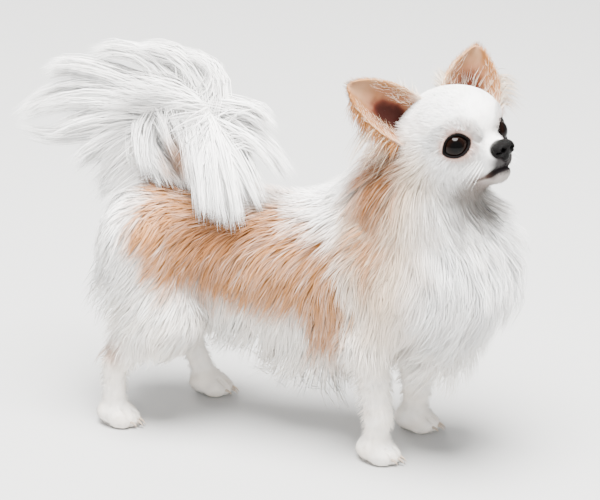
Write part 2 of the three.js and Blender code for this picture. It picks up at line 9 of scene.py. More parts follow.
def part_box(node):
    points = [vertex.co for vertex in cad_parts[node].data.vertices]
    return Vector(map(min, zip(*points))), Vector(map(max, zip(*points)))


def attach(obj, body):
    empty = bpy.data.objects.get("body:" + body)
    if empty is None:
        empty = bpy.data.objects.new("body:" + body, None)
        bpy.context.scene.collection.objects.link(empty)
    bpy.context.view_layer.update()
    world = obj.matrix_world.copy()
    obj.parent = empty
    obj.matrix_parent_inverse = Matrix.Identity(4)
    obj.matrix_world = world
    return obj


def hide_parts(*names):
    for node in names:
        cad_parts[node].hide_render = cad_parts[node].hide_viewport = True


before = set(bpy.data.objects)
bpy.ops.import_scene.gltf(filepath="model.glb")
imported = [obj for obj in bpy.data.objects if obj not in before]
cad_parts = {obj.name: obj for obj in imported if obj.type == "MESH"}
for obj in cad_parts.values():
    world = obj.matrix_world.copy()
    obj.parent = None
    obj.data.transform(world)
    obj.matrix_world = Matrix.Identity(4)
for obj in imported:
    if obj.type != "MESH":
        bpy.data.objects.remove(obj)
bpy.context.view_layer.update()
rng = np.random.default_rng(7)
F32 = np.float32


def V(*a):
    return np.array(a, float)


def unit(v):
    v = np.asarray(v, float)
    return v / np.maximum(np.linalg.norm(v, axis=-1, keepdims=True), 1e-9)


# ---------------------------------------------------------------- sizes
HEAD, HEAD_TURN = V(119, -2, 236), (-30.0, 13.0, 3.0)
EYE_R, EYE_AT, EYE_TILT = 9.6, (18.2, 17.6, -2.0), 15.0
FEET = {"fr": (72, -30), "fl": (82, 27), "hr": (-123, -37), "hl": (-80, 34)}
FOOT_YAW = {"fr": -6, "fl": 4, "hr": -4, "hl": 6}
HOCK = {"hr": 3, "hl": -12}
EARS = {
    "r": dict(base=(-10, -25, 14), tip=(-24, -63, 50), half=17.5, open=(0.8, -0.42, 0.3)),
    "l": dict(base=(-5, 22, 16), tip=(-3, 37, 53), half=21.0, open=(0.84, -0.42, 0.1)),
}
DOCK = np.array([(-98, 0, 150), (-108, 0, 182), (-109, -2, 212), (-95, -5, 236), (-70, -9, 243), (-48, -14, 229), (-39, -20, 202)], float)
SIDES = (-1, 1)


def turned(yaw=0.0, pitch=0.0, roll=0.0):
    """Columns: forward, left, up of a frame turned by yaw, pitched up, then rolled left side up."""
    y, p, r = np.radians([yaw, pitch, roll])
    f = V(np.cos(y) * np.cos(p), np.sin(y) * np.cos(p), np.sin(p))
    l0 = V(-np.sin(y), np.cos(y), 0)
    u0 = np.cross(f, l0)
    left = l0 * np.cos(r) + u0 * np.sin(r)
    return np.stack([f, left, np.cross(f, left)], 1)


RH = turned(*HEAD_TURN)


def head_point(*q):
    return HEAD + RH @ V(*q)


# the frame's own copy of the right eye says where design space lies in it
lo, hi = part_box("eye_right")
SHIFT = (np.array(lo) + np.array(hi)) * 500 - head_point(19.2, -17.6, -2)


def soft(x, lo, hi):
    t = np.clip((x - lo) / (hi - lo), 0, 1)
    return t * t * (3 - 2 * t)


# ---------------------------------------------------------------- distance shapes
def smin(a, b, k):
    h = np.clip(0.5 + 0.5 * (b - a) / k, 0, 1)
    return b + (a - b) * h - k * h * (1 - h)


def smax(a, b, k):
    return -smin(-a, -b, k)


def rod(p, a, b, ra, rb, flat=1.0):
    a, b = V(*a), V(*b)
    s = V(1, 1 / flat, 1)
    d = (b - a) * s
    q = (p - a.astype(p.dtype)) * s.astype(p.dtype)
    h = np.clip(q @ d.astype(p.dtype) / (d @ d), 0, 1)
    return (np.sqrt(((q - h[..., None] * d.astype(p.dtype)) ** 2).sum(-1)) - (ra + (rb - ra) * h)) * min(1, flat)


def egg(p, c, r, turn=None):
    q = p - V(*c).astype(p.dtype)
    if turn is not None:
        q = q @ turn.astype(p.dtype)
    r = V(*r).astype(p.dtype)
    k0 = np.sqrt(((q / r) ** 2).sum(-1))
    k1 = np.sqrt(((q / (r * r)) ** 2).sum(-1))
    return k0 * (k0 - 1) / np.maximum(k1, 1e-9)


def in_head(p):
    return (p - HEAD.astype(p.dtype)) @ RH.astype(p.dtype)


# ---------------------------------------------------------------- the body: coat 0 is bare skin, coat 1 the ends of the hair
def trunk(p, coat):
    if not coat:
        d = egg(p, (58, 0, 128), (57, 38, 50), turned(0, 12))
        d = smin(d, egg(p, (-10, 0, 133), (62, 35, 40)), 26)
        d = smin(d, egg(p, (-70, 0, 142), (50, 32, 33)), 24)
        d = smin(d, egg(p, (-98, 0, 148), (28, 30, 28)), 14)
        d = smin(d, rod(p, (40, 0, 148), (84, 0, 166), 26, 30, 0.85), 24)
        return smin(d, egg(p, (98, -1, 146), (40, 36, 46), turned(0, -14)), 16)
    d = egg(p, (56, 0, 130), (62, 47, 56), turned(0, 12))
    d = smin(d, egg(p, (-10, 0, 133), (66, 43, 48)), 26)
    d = smin(d, egg(p, (-70, 0, 140), (58, 42, 42)), 24)
    d = smin(d, egg(p, (-102, 0, 134), (32, 38, 42)), 14)
    d = smin(d, rod(p, (40, 0, 148), (84, 0, 166), 34, 38, 0.9), 22)
    d = smin(d, egg(p, (12, 0, 84), (54, 34, 47)), 18)
    d = smin(d, egg(p, (-40, 0, 92), (36, 33, 34)), 16)
    for s in SIDES:
        d = smin(d, egg(p, (-118, s * 22, 98), (27, 21, 38), turned(0, -12)), 14)
    return d


def neck(p, coat):
    if not coat:
        return rod(p, (74, 0, 150), (104, -1, 218), 36, 25, 0.92)
    d = rod(p, (70, 0, 152), (101, -1, 214), 49, 38, 0.95)
    d = smin(d, egg(p, (120, -2, 152), (53, 54, 56), turned(0, -14)), 20)
    d = smin(d, egg(p, (117, -2, 108), (33, 41, 52), turned(0, 14)), 16)
    return smin(d, egg(p, (100, -4, 206), (42, 44, 34), turned(-20)), 14)


def skull(p, coat):
    q, c = in_head(p), 2.4 if coat else 0.0
    d = egg(q, (-2, 0, 2), (33.5 + c, 31.5 + c, 30 + c))
    d = smin(d, egg(q, (10, 0, 7), (24 + c, 27 + c, 22 + c)), 8)
    for s in SIDES:
        d = smin(d, egg(q, (3, s * 17, -13), (20 + c, 13 + c, 15 + c)), 9)
        d = smin(d, egg(q, (19, s * 13.5, -7), (11 + c, 9 + c, 9 + c)), 5)
    d = smin(d, rod(q, (18, 0, -12), (37, 0, -11.5), 15 + c, 9.6 + c * 0.5, 1.08), 7)
    d = smin(d, rod(q, (12, 0, -23), (35.8, 0, -23), 11.8 + c * 0.8, 8.0 + c * 0.4, 1.12), 4 if not coat else 5)
    for s in SIDES:
        if coat:
            d = smin(d, egg(q, (-10, s * 24, -10), (21, 16, 24)), 10)
        else:
            d = smin(d, rod(q, (30, s * 4.6, -15.5), (39, s * 3.4, -15), 6.4, 5.4), 3)  # upper lips
    return smin(d, egg(q, (-16, 0, -2), (26, 34, 30)), 8) if coat else d


def foot(p, key, coat):
    x, y = FEET[key]
    R, k = turned(FOOT_YAW[key]), 1.3 if coat else 0.0
    at = lambda u, v, w: V(x, y, 0) + R @ V(u, v, w)
    d = egg(p, at(3, 0, 8.6), (14 + k, 11 + k, 9 + k), R)
    for v in (-7.6, -2.7, 2.7, 7.6):
        u = 13 if abs(v) < 5 else 9.5
        d = smin(d, egg(p, at(u, v, 6.3), (8.7 + k, 4.2 + k * 0.6, 6.4 + k), turned(FOOT_YAW[key] - v * 1.6, -14)), 2.5 if coat else 1.3)
    if not coat:
        for v in (-5.4, 0, 5.4):
            d = smax(d, 1.0 - rod(p, at(11, v * 0.95, 13.4), at(23, v * 1.2, 6), 0, 0), 1.2)
    return d


def foreleg(p, key, coat):
    (x, y), k = FEET[key], 5.5 * coat
    s = math.copysign(1, y)
    elbow, wrist = (69 + 0.3 * (x - 72), s * 32, 92), (x + 5, y, 34)
    d = rod(p, (92, s * 27, 128), elbow, 23 + k * 0.6, 16 + k, 0.8)
    d = smin(d, rod(p, elbow, wrist, 13 + k * 1.1, 8.8 + k * 0.6), 12)
    d = smin(d, rod(p, wrist, (x + 3, y, 12), 8.6 + k * 0.6, 9 + k * 0.5), 6)
    d = smin(d, foot(p, key, coat), 5)
    return smin(d, rod(p, (x - 16, s * 32, 84), (x - 8, y, 42), 13, 8, 0.8), 8) if coat else d


def hindleg(p, key, coat):
    (x, y), k = FEET[key], 6.0 * coat
    s = math.copysign(1, y)
    stifle, hock = (-80 + 0.35 * (x + 123), s * 34, 90), (x + HOCK[key], y - s, 46)
    d = rod(p, (-98, s * 24, 140), stifle, 30 + k * 0.7, 20 + k, 0.72)
    d = smin(d, rod(p, stifle, hock, (18 if coat else 16) + k * 1.1, 8.4 + k * 0.7, 0.85), 14)
    d = smin(d, rod(p, hock, (x + 2, y, 12), 7.8 + k * 0.6, 8 + k * 0.5), 5)
    return smin(d, foot(p, key, coat), 5)


def dock_points(n=25):
    """The tail's bony middle as a smooth curve."""
    P = np.vstack([2 * DOCK[0] - DOCK[1], DOCK, 2 * DOCK[-1] - DOCK[-2]])
    t = np.linspace(0, len(DOCK) - 1, n)
    i = np.minimum(t.astype(int), len(DOCK) - 2)
    f = (t - i)[:, None]
    a, b, c, d = P[i], P[i + 1], P[i + 2], P[i + 3]
    return 0.5 * (2 * b + (c - a) * f + (2 * a - 5 * b + 4 * c - d) * f**2 + (3 * b - a - 3 * c + d) * f**3)


def dock(p):
    P = dock_points(13)
    r = np.linspace(10, 3.5, len(P))
    d = None
    for i in range(len(P) - 1):
        e = rod(p, P[i], P[i + 1], r[i], r[i + 1])
        d = e if d is None else smin(d, e, 4)
    return d


# ears: a leaf drawn over an axis, cupped towards its opening
def ear_frame(side):
    e = EARS[side]
    b, t = V(*e["base"]), V(*e["tip"])
    L = np.linalg.norm(t - b)
    ax = (t - b) / L
    n = unit(V(*e["open"]) - ax * (V(*e["open"]) @ ax))
    return b, ax, n, np.cross(n, ax), L, e["half"]


def ear_half(h, half):
    k = np.clip(h, 0, 1)
    a, b = (2.5, 0.66) if half < 19 else (1.9, 0.8)  # the right one has the rounder tip
    return half * np.where(h < 0, 1 + 0.35 * h, (1 - k**a) ** b * (1 + 0.08 * np.sin(np.pi * k)))


def ear_cup(h, x, half):
    return -(3 + 11 * np.clip(1 - h, 0, 1.25) ** 1.2) * (1 - np.clip(np.abs(x) / np.maximum(half, 1), 0, 1) ** 2)


def ear_coordinates(p, side):
    b, ax, n, wide, L, half = ear_frame(side)
    q = in_head(p) - b.astype(p.dtype)
    return q @ (ax / L).astype(p.dtype), q @ wide.astype(p.dtype), q @ n.astype(p.dtype), L, half


def ear(p, side, thick=1.25):
    h, x, y, L, w = ear_coordinates(p, side)
    half = ear_half(h, w)
    yc = ear_cup(h, x, half)
    rim = np.clip((np.abs(x) / np.maximum(half, 1) - 0.8) / 0.2, 0, 1)
    d = smax(np.abs(y - yc) * 0.75 - (thick + 0.35 * rim), np.abs(x) - half, 1.6)
    return smax(d, np.maximum((h - 1) * L, -(h * L + 9)), 2.0)


# eyes
def eye_frame(s):
    """Centre in the head's frame, outward axis, axis along the lids towards the nose, axis across them."""
    e = V(EYE_AT[0], s * EYE_AT[1], EYE_AT[2])
    a = unit(V(0.80, s * 0.58, 0.06))
    inner = unit(V(0.58, -s * 0.8, 0))
    h0 = unit(inner - a * (a @ inner))
    t0 = np.cross(a, h0)
    t0 *= np.sign(t0[2])
    f = math.radians(EYE_TILT)
    return e, a, math.cos(f) * h0 + math.sin(f) * t0, -math.sin(f) * h0 + math.cos(f) * t0


def almond():
    """The edge of the lids, in millimetres along the eyeball from the middle of the gaze: x to the nose, y up."""
    t = np.linspace(-1, 1, 17)
    arch = 1 - np.abs(t) ** 2.1
    bend = -0.6 * soft(t, 0.3, 1) - 1.0 * soft(-t, 0.4, 1)
    top = np.stack([10.6 * t + 0.3, 7.6 * arch**0.85 + bend], 1)
    low = np.stack([10.6 * t + 0.3, -6.8 * arch**0.85 + bend], 1)
    return np.concatenate([top, low[-2:0:-1]]).astype(F32)


def lid_opening(q, s):
    """Millimetres over the eyeball from the edge of the lids, below 0 where the eye shows, and the distance from its centre."""
    e, a, h, t = (v.astype(q.dtype) for v in eye_frame(s))
    d = q - e
    n = np.sqrt((d * d).sum(-1))
    d = d / np.maximum(n, 1e-6)[..., None]
    x, y = d @ h, d @ t
    k = EYE_R * np.arccos(np.clip(d @ a, -1, 1)) / np.maximum(np.sqrt(x * x + y * y), 1e-6)
    x, y = x * k, y * k
    best, inside = np.full(x.shape, 1e9, x.dtype), np.zeros(x.shape, bool)
    for (ax, ay), (bx, by) in zip(ALMOND, np.roll(ALMOND, -1, 0)):
        ex, ey = bx - ax, by - ay
        u = np.clip(((x - ax) * ex + (y - ay) * ey) / (ex * ex + ey * ey), 0, 1)
        best = np.minimum(best, (x - ax - u * ex) ** 2 + (y - ay - u * ey) ** 2)
        if ey != 0:
            inside ^= ((ay > y) != (by > y)) & (x < ex * (y - ay) / ey + ax)
    best = np.sqrt(best)
    return np.where(inside, -best, best), n


ALMOND = almond()


def face_details(d, q):
    """Lids, sockets and the lips' line, carved into the head's distance d."""
    for s in SIDES:
        near = np.linalg.norm(q - eye_frame(s)[0].astype(q.dtype), axis=-1) < 26
        if not near.any():
            continue
        qq, dd = q[near], d[near]
        f, n = lid_opening(qq, s)
        dish = smin(smin(3.4 + 0.5 * (n - EYE_R - 1.6) - f, n - EYE_R - 0.6, 1.5), 18.5 - n, 7.0)
        dd = smax(dd, dish, 5.0)
        lid = smax(np.abs(n - (EYE_R + 0.75)) - 0.75, f - 5.5, 1.5)
        dd = smin(dd, lid, 4.2)
        dd = smax(dd, np.minimum(-f, EYE_R + 14 - n), 0.8)
        dd = smax(dd, EYE_R + 0.06 - n, 0.3)
        d = d.copy()
        d[near] = dd
    front = (q[..., 0] > 18) & (q[..., 2] < -12)
    if front.any():
        d = d.copy()
        d[front] = smax(d[front], 1.0 - lip_distance(q[front]), 0.9)
    d = smax(d, 0.75 - rod(q, (44.5, 0, -15.5), (42.5, 0, -20.6), 0, 0), 0.8)
    return d


def lip_distance(q):
    """From points in the head's frame to the line where the lips meet."""
    return np.min([rod(q, a, b, 0, 0) for a, b in zip(LIP[:-1], LIP[1:])], 0)


def on_muzzle(x, z, s):
    """Where the side of the muzzle is at x and z of the head's frame."""
    a, b = 0.0, 22.0
    for _ in range(22):
        m = (a + b) / 2
        a, b = (m, b) if skull(head_point(x, s * m, z)[None], 0)[0] < -0.1 else (a, m)
    return (x, s * a, z)


SIDE_LIP = [on_muzzle(x, z, 1) for x, z in ((17.5, -30.4), (21, -29.4), (24.5, -28.2), (29, -27.2), (33, -26.0), (36.5, -24.6), (39.5, -23.0), (42, -21.5))]
LIP = [(x, -y, z) for x, y, z in SIDE_LIP] + [(43.6, 0, -20.8)] + SIDE_LIP[::-1]


def parts_of(p, coat):
    out = {"trunk": trunk(p, coat), "neck": neck(p, coat), "head": skull(p, coat)}
    for k in FEET:
        out[k] = (foreleg if k[0] == "f" else hindleg)(p, k, coat)
    return out


def joined(o, coat):
    d = smin(o["trunk"], o["neck"], 13 if coat else 26)
    for k in FEET:
        d = smin(d, o[k], 12)
    return smin(d, o["head"], 12 if coat else 14)


def skin_distance(p):
    o = parts_of(p, 0)
    d = joined(o, 0)
    d = smin(d, dock(p), 9)
    for s in "rl":
        d = smin(d, ear(p, s), 3.2)
    d = face_details(d, in_head(p))
    return smax(d, -p[..., 2], 1.2)


def body_skin(p):
    return smin(joined(parts_of(p, 0), 0), dock(p), 9)


def body_coat(p):
    return joined(parts_of(p, 1), 1)


def nose_distance(p):
    q = in_head(p)
    d = egg(q, (44.4, 0, -7.0), (5.6, 8.2, 5.1))
    d = smin(d, egg(q, (45.2, 0, -11.8), (3.6, 3.6, 4.6)), 2.4)
    for s in SIDES:
        d = smin(d, egg(q, (44.4, s * 4.7, -8.4), (5, 4.1, 4.5)), 1.6)
        d = smax(d, -egg(q, (49.6, s * 4.1, -8.3), (4.6, 1.9, 1.7), turned(s * 24)), 0.7)
        d = smax(d, -egg(q, (47.8, s * 7.4, -9.6), (4.2, 1.7, 0.8), turned(s * 38)), 0.6)
    return smax(d, 0.45 - rod(q, (52, 0, -8.5), (49.4, 0, -19), 0, 0), 0.6)


# ---------------------------------------------------------------- skinning: one vertex in each cell that the surface crosses
def marks(lo, hi, step):
    out = [lo]
    while out[-1] < hi:
        out.append(out[-1] + step(out[-1]))
    return np.array(out, F32)


def skinned(f, X, Y, Z, block=8, chunk=200000):
    nx, ny, nz = len(X), len(Y), len(Z)
    val = np.empty((nx, ny, nz), F32)
    bx, by, bz = (range(0, n, block) for n in (nx, ny, nz))
    cells = [(i, j, k) for i in bx for j in by for k in bz]
    lo = np.array([(X[i], Y[j], Z[k]) for i, j, k in cells], F32)
    hi = np.array([(X[min(i + block, nx) - 1], Y[min(j + block, ny) - 1], Z[min(k + block, nz) - 1]) for i, j, k in cells], F32)
    mid = f((lo + hi) / 2)
    R = np.linalg.norm(hi - lo, axis=1) / 2
    near = np.abs(mid) < R * 1.9 + 3
    todo = []
    for (i, j, k), n, m in zip(cells, near, mid):
        if n:
            todo.append((i, j, k))
        else:
            val[i : i + block, j : j + block, k : k + block] = 9 if m > 0 else -9
    grids, pts, count = [], [], 0

    def flush():
        nonlocal grids, pts, count
        if not pts:
            return
        d = f(np.concatenate(pts))
        o = 0
        for (i, j, k), shape in grids:
            n = shape[0] * shape[1] * shape[2]
            val[i : i + shape[0], j : j + shape[1], k : k + shape[2]] = d[o : o + n].reshape(shape)
            o += n
        grids, pts, count = [], [], 0

    for i, j, k in todo:
        a, b, c = X[i : i + block], Y[j : j + block], Z[k : k + block]
        g = np.stack(np.meshgrid(a, b, c, indexing="ij"), -1).reshape(-1, 3)
        grids.append(((i, j, k), (len(a), len(b), len(c))))
        pts.append(g)
        count += len(g)
        if count > chunk:
            flush()
    flush()
    val[0], val[-1], val[:, 0], val[:, -1], val[:, :, 0], val[:, :, -1] = 1, 1, 1, 1, 1, 1
    inside = val <= 0
    corner = [(a, b, c) for a in (0, 1) for b in (0, 1) for c in (0, 1)]
    s = sum(inside[a : nx - 1 + a, b : ny - 1 + b, c : nz - 1 + c].astype(np.int8) for a, b, c in corner)
    active = (s > 0) & (s < 8)
    I, J, K = np.nonzero(active)
    index = np.full(active.shape, -1, np.int32)
    index[I, J, K] = np.arange(len(I))
    acc, cnt = np.zeros((len(I), 3)), np.zeros(len(I))
    P = {c: np.stack([X[I + c[0]], Y[J + c[1]], Z[K + c[2]]], 1) for c in corner}
    W = {c: val[I + c[0], J + c[1], K + c[2]] for c in corner}
    for c in corner:
        for ax in range(3):
            if c[ax]:
                continue
            e = tuple(1 if n == ax else c[n] for n in range(3))
            u, v = W[c], W[e]
            hit = (u <= 0) != (v <= 0)
            t = (u / np.where(hit, u - v, 1))[:, None]
            acc[hit] += (P[c] + (P[e] - P[c]) * t)[hit]
            cnt[hit] += 1
    verts = (acc / cnt[:, None]).astype(F32)
    for _ in range(2):
        h = F32(0.2)
        d = f(verts)
        g = np.stack([f(verts + np.eye(3, dtype=F32)[k] * h) - f(verts - np.eye(3, dtype=F32)[k] * h) for k in range(3)], 1) / (2 * h)
        gg = np.maximum((g * g).sum(1), 0.3)
        verts = verts - np.clip(d / gg, -0.35, 0.35)[:, None] * g
    quads = []
    for ax in range(3):
        sl = [slice(1, n - 1) for n in (nx, ny, nz)]
        a = inside[tuple(sl)]
        sh = [slice(1, n - 1) for n in (nx, ny, nz)]
        sh[ax] = slice(2, (nx, ny, nz)[ax])
        b = inside[tuple(sh)]
        i, j, k = np.nonzero(a != b)
        out = a[i, j, k]
        i, j, k = i + 1, j + 1, k + 1
        if ax == 0:
            q = [index[i, j - 1, k - 1], index[i, j, k - 1], index[i, j, k], index[i, j - 1, k]]
        elif ax == 1:
            q = [index[i - 1, j, k - 1], index[i - 1, j, k], index[i, j, k], index[i, j, k - 1]]
        else:
            q = [index[i - 1, j - 1, k], index[i, j - 1, k], index[i, j, k], index[i - 1, j, k]]
        q = np.stack(q, 1)
        q[~out] = q[~out][:, ::-1]
        quads.append(q)
    return verts, np.concatenate(quads).astype(np.int32)


# ---------------------------------------------------------------- markings and painted shade, shared by skin and coat
def linear(*rgb):
    c = np.array(rgb, float) / 255
    return np.where(c < 0.04045, c / 12.92, ((c + 0.055) / 1.055) ** 2.4)


WHITE, CREAM, FAWN, TAN, BROWN = linear(252, 250, 247), linear(242, 224, 200), linear(182, 124, 72), linear(144, 92, 50), linear(104, 62, 34)
PINK, DARK, RED, GREY = linear(172, 118, 90), linear(12, 9, 9), linear(84, 36, 28), linear(186, 176, 170)
WAVES = [(unit(rng.normal(size=3)), rng.uniform(0, 6.28)) for _ in range(18)]


def noise(p, size, seed=0):
    """A smooth field between about -1 and 1 that varies over about size millimetres."""
    out = 0
    for i in range(6):
        d, ph = WAVES[(i + seed * 5) % 18]
        out = out + np.sin(p @ (d * (6.28 / size) * (0.7 + 0.13 * i)) + ph + seed * 1.7 + 1.3 * np.sin(p @ (WAVES[(i + 7) % 18][0] * (4.1 / size)) + ph))
    return out / 3.2


def patch(x, z, cx, cz, rx, rz, edge=0.35):
    r = np.sqrt(((x - cx) / rx) ** 2 + ((z - cz) / rz) ** 2)
    return 1 - soft(r, 1 - edge, 1 + edge)


def mix(a, b, t):
    return a + (b - a) * t[:, None]


def markings_and_painted_shade(p):
    """The coat's colour at points p (design millimetres) over the body, head, legs and tail, with painted shade under
    the jaw and under the tail's plume.
    """
    x, y, z = p.T
    wob = noise(p, 34) * 5 + noise(p * V(1, 1, 0.35), 9, 1) * 5
    xs, zs = x + wob, z + noise(p, 26, 2) * 4
    far = soft(y, -4, 8)
    xs = xs + far * 6
    fawn = patch(xs, zs, -66, 152, 42, 38, 0.28)
    fawn = np.maximum(fawn, patch(xs, zs, -8, 138, 64, 36, 0.3))
    fawn = np.maximum(fawn, patch(xs, zs, 40, 122, 20, 46, 0.3) * 0.92)
    cap = np.maximum(patch(xs, zs, 54, 203, 50, 31, 0.24), patch(xs, zs, 36, 210, 44, 31, 0.22))
    fawn = fawn * (1 - cap)
    fawn = fawn * soft(x + noise(p, 12, 1) * 4, -118, -98)
    streak = noise(p * V(1, 1, 0.22), 5.5, 2)
    fawn = np.clip(fawn * (1 + 0.22 * streak), 0, 1)
    col = mix(np.repeat(WHITE[None], len(p), 0), CREAM[None], np.clip(soft(150 - z, 0, 80) * 0.35 + 0.12 * noise(p, 20, 1), 0, 1))
    col = mix(col, FAWN[None], fawn)
    # darker tan on the loin is the coat's own tone; the tan and brown at the tail's root are partly its own colour and
    # partly painted shade under the plume
    dark_tone_and_painted_shade = np.maximum(patch(x, z, -46, 140, 22, 22, 0.6), patch(x, z, -30, 158, 20, 9, 0.6)) * 0.55 + 0.25 * np.clip(streak, 0, 1)
    col = mix(col, TAN[None], np.clip(fawn * dark_tone_and_painted_shade, 0, 1))
    col = mix(col, BROWN[None], fawn * patch(x + xs * 0.3 - x * 0.3, z, -38, 160, 32, 11, 0.6) * 0.65)
    # border of the mane, behind the cheek and the root of the tail
    sides = soft(np.abs(y), 16, 28)
    col = mix(col, linear(214, 178, 134)[None], patch(x, z, 80, 166, 27, 70, 0.6) * sides * 0.7)
    mane = patch(x + noise(p, 16) * 4, z, 72, 182, 17, 46, 0.55) * sides * np.clip(0.65 + 0.6 * noise(p * V(1, 1, 0.18), 6, 0), 0, 1)
    col = mix(col, FAWN[None], mane * 0.9)
    q = in_head(p)
    col = mix(col, linear(204, 180, 148)[None], patch(q[:, 0], q[:, 2], -12, -18, 18, 19, 0.6) * soft(np.abs(q[:, 1]), 12, 22) * 0.6)
    behind = patch(q[:, 0], q[:, 2], -30, -10, 20, 31, 0.5) * soft(np.abs(q[:, 1]), 14, 24)
    col = mix(col, mix(TAN[None], BROWN[None], np.array([0.3])), behind * np.clip(0.85 + 0.4 * noise(p, 8, 1), 0, 1))
    # painted shade on the throat under the jaw
    throat_painted_shade = 1 - soft(np.linalg.norm((q - V(10, 0, -38)) / V(26, 24, 14), axis=1), 0.5, 1.4)
    col = mix(col, linear(118, 105, 94)[None], throat_painted_shade * 0.85)
    col = mix(col, TAN[None], patch(x, z, -84, 182, 17, 13, 0.6) * soft(18 - np.abs(y), 0, 6) * 0.9)
    for k, (hx, amount) in {"hr": (-120, 0.7), "hl": (-93, 0.5)}.items():
        fx, fy = FEET[k]
        col = mix(col, TAN[None], patch(x, z, hx, 62, 9, 14, 0.6) * soft(20 - np.abs(y - fy), 0, 8) * amount)
    return np.clip(col * (1 + 0.05 * noise(p, 11, 2))[:, None], 0, 1)


def head_marks_and_painted_shade(p, col, hair=False):
    """Dark lips, rims of the lids and the warm skin round them, and painted shade under the chin."""
    q = in_head(p)
    for s in SIDES:
        e = eye_frame(s)
        near = np.linalg.norm(q - e[0], axis=1) < 22
        if near.any():
            f, n = lid_opening(q[near], s)
            c = col[near]
            c = mix(c, linear(178, 122, 100)[None], (1 - soft(f, 1.5, 6.5)) * (1 - soft(n, EYE_R + 2, EYE_R + 8)) * 0.7)
            a, b = (0.3, 0.9) if hair else (0.2, 1.2)
            col[near] = mix(c, DARK[None], (1 - soft(f, a, b)) * (1 - soft(n, EYE_R + 2.6, EYE_R + 4.2)))
    lip = lip_distance(q)
    front = soft(q[:, 0], 30, 41)
    # painted shade on the chin under the mouth
    chin_painted_shade = soft(-q[:, 2], 20.5, 25) * soft(q[:, 0], 8, 26)
    col = mix(col, linear(140, 124, 116)[None], chin_painted_shade * 0.75)
    col = mix(col, mix(linear(74, 56, 50)[None], DARK[None], front), 1 - soft(lip, 0.7 + 1.0 * front, 1.6 + 2.6 * front))
    col = mix(col, DARK[None], 1 - soft(nose_distance(p), 0.2, 1.8))
    below = np.linalg.norm((q - V(42.5, 0, -16)) / V(8.0, 9.5, 8.5), axis=1)
    return mix(col, linear(30, 25, 26)[None], (1 - soft(below, 0.7, 1.25)) * 0.95)


def ear_marks_and_painted_shade(p, side):
    """Fawn outside and on the rim, warm bare skin inside, reddish skin and painted shade down in the opening."""
    h, x, y, L, w = ear_coordinates(p, side)
    half = ear_half(h, w)
    yc = ear_cup(h, x, half)
    inner = soft(y - yc, -0.2, 0.6)
    edge = soft(np.abs(x) / np.maximum(half, 1), 0.72, 0.95)
    back = mix(np.repeat(FAWN[None], len(p), 0), TAN[None], np.clip(0.35 + 0.3 * noise(p, 12, 1), 0, 1))
    back = mix(back, linear(214, 178, 134)[None], np.clip(0.2 + 0.14 * noise(p, 16, 2), 0, 0.6))
    back = mix(back, WHITE[None], (1 - soft(h, -0.1, 0.3)) * 0.85)
    skin = mix(np.repeat(PINK[None], len(p), 0), linear(134, 90, 62)[None], np.clip(0.5 + 0.4 * noise(p, 9, 2), 0, 1))
    skin = mix(skin, linear(180, 142, 108)[None], soft(h, 0.5, 0.85) * 0.6)
    low = 1.0 if (RH @ ear_frame(side)[3])[2] < 0 else -1.0
    r = np.sqrt(((h - 0.22) / 0.40) ** 2 + ((x * low / np.maximum(half, 1) - (0.16 if side == "r" else 0.0)) / 0.66) ** 2) + 0.06 * noise(p, 7, 0)
    dark_tone_and_painted_shade = (1 - soft(r, 0.45, 1.3)) * (1 if side == "r" else 0.6)
    skin = mix(skin, TAN[None], np.clip(0.8 * soft(x * low / np.maximum(half, 1), 0.2, 0.75) + 0.25 * noise(p * V(1, 1, 0.3), 5, 1), 0, 0.85))
    skin = mix(skin, CREAM[None], (1 - soft(h, -0.1, 0.14)) * 0.85)
    # reddish skin round the opening, with its darkest middle a painted shade of the ear's hole
    skin = mix(skin, RED[None], soft(dark_tone_and_painted_shade, 0.05, 0.75) * 0.92)
    skin = mix(skin, linear(40, 17, 14)[None], soft(dark_tone_and_painted_shade, 0.45, 1.0) * 0.9)
    lower = soft(x * low / np.maximum(half, 1), 0.3, 0.8) * (1 - soft(h, 0.75, 1.0))
    return mix(mix(back, mix(skin * 0.8, back, np.clip(edge * 0.9, 0, 1)), inner), TAN[None], lower * inner * 0.65)


# ---------------------------------------------------------------- materials
def material(name):
    m = bpy.data.materials.new(name)
    m.use_nodes = True
    t = m.node_tree
    return m, t, t.nodes["Principled BSDF"]


def node(t, kind, **values):
    n = t.nodes.new(kind)
    for k, v in values.items():
        setattr(n, k, v)
    return n


def hair_material(name, rough=0.62, grain=0.1):
    m, t, b = material(name)
    att = node(t, "ShaderNodeAttribute", attribute_name="Col")
    noi = node(t, "ShaderNodeTexNoise")
    noi.inputs["Scale"].default_value = 900
    noi.inputs["Detail"].default_value = 2
    ramp = node(t, "ShaderNodeMapRange")
    ramp.inputs["From Min"].default_value, ramp.inputs["From Max"].default_value = 0.3, 0.7
    ramp.inputs["To Min"].default_value, ramp.inputs["To Max"].default_value = 1 - grain, 1.0
    mul = node(t, "ShaderNodeVectorMath", operation="SCALE")
    t.links.new(noi.outputs["Fac"], ramp.inputs["Value"])
    t.links.new(att.outputs["Color"], mul.inputs[0])
    t.links.new(ramp.outputs["Result"], mul.inputs["Scale"])
    t.links.new(mul.outputs["Vector"], b.inputs["Base Color"])
    b.inputs["Roughness"].default_value = rough
    b.inputs["Specular IOR Level"].default_value = 0.25
    return m


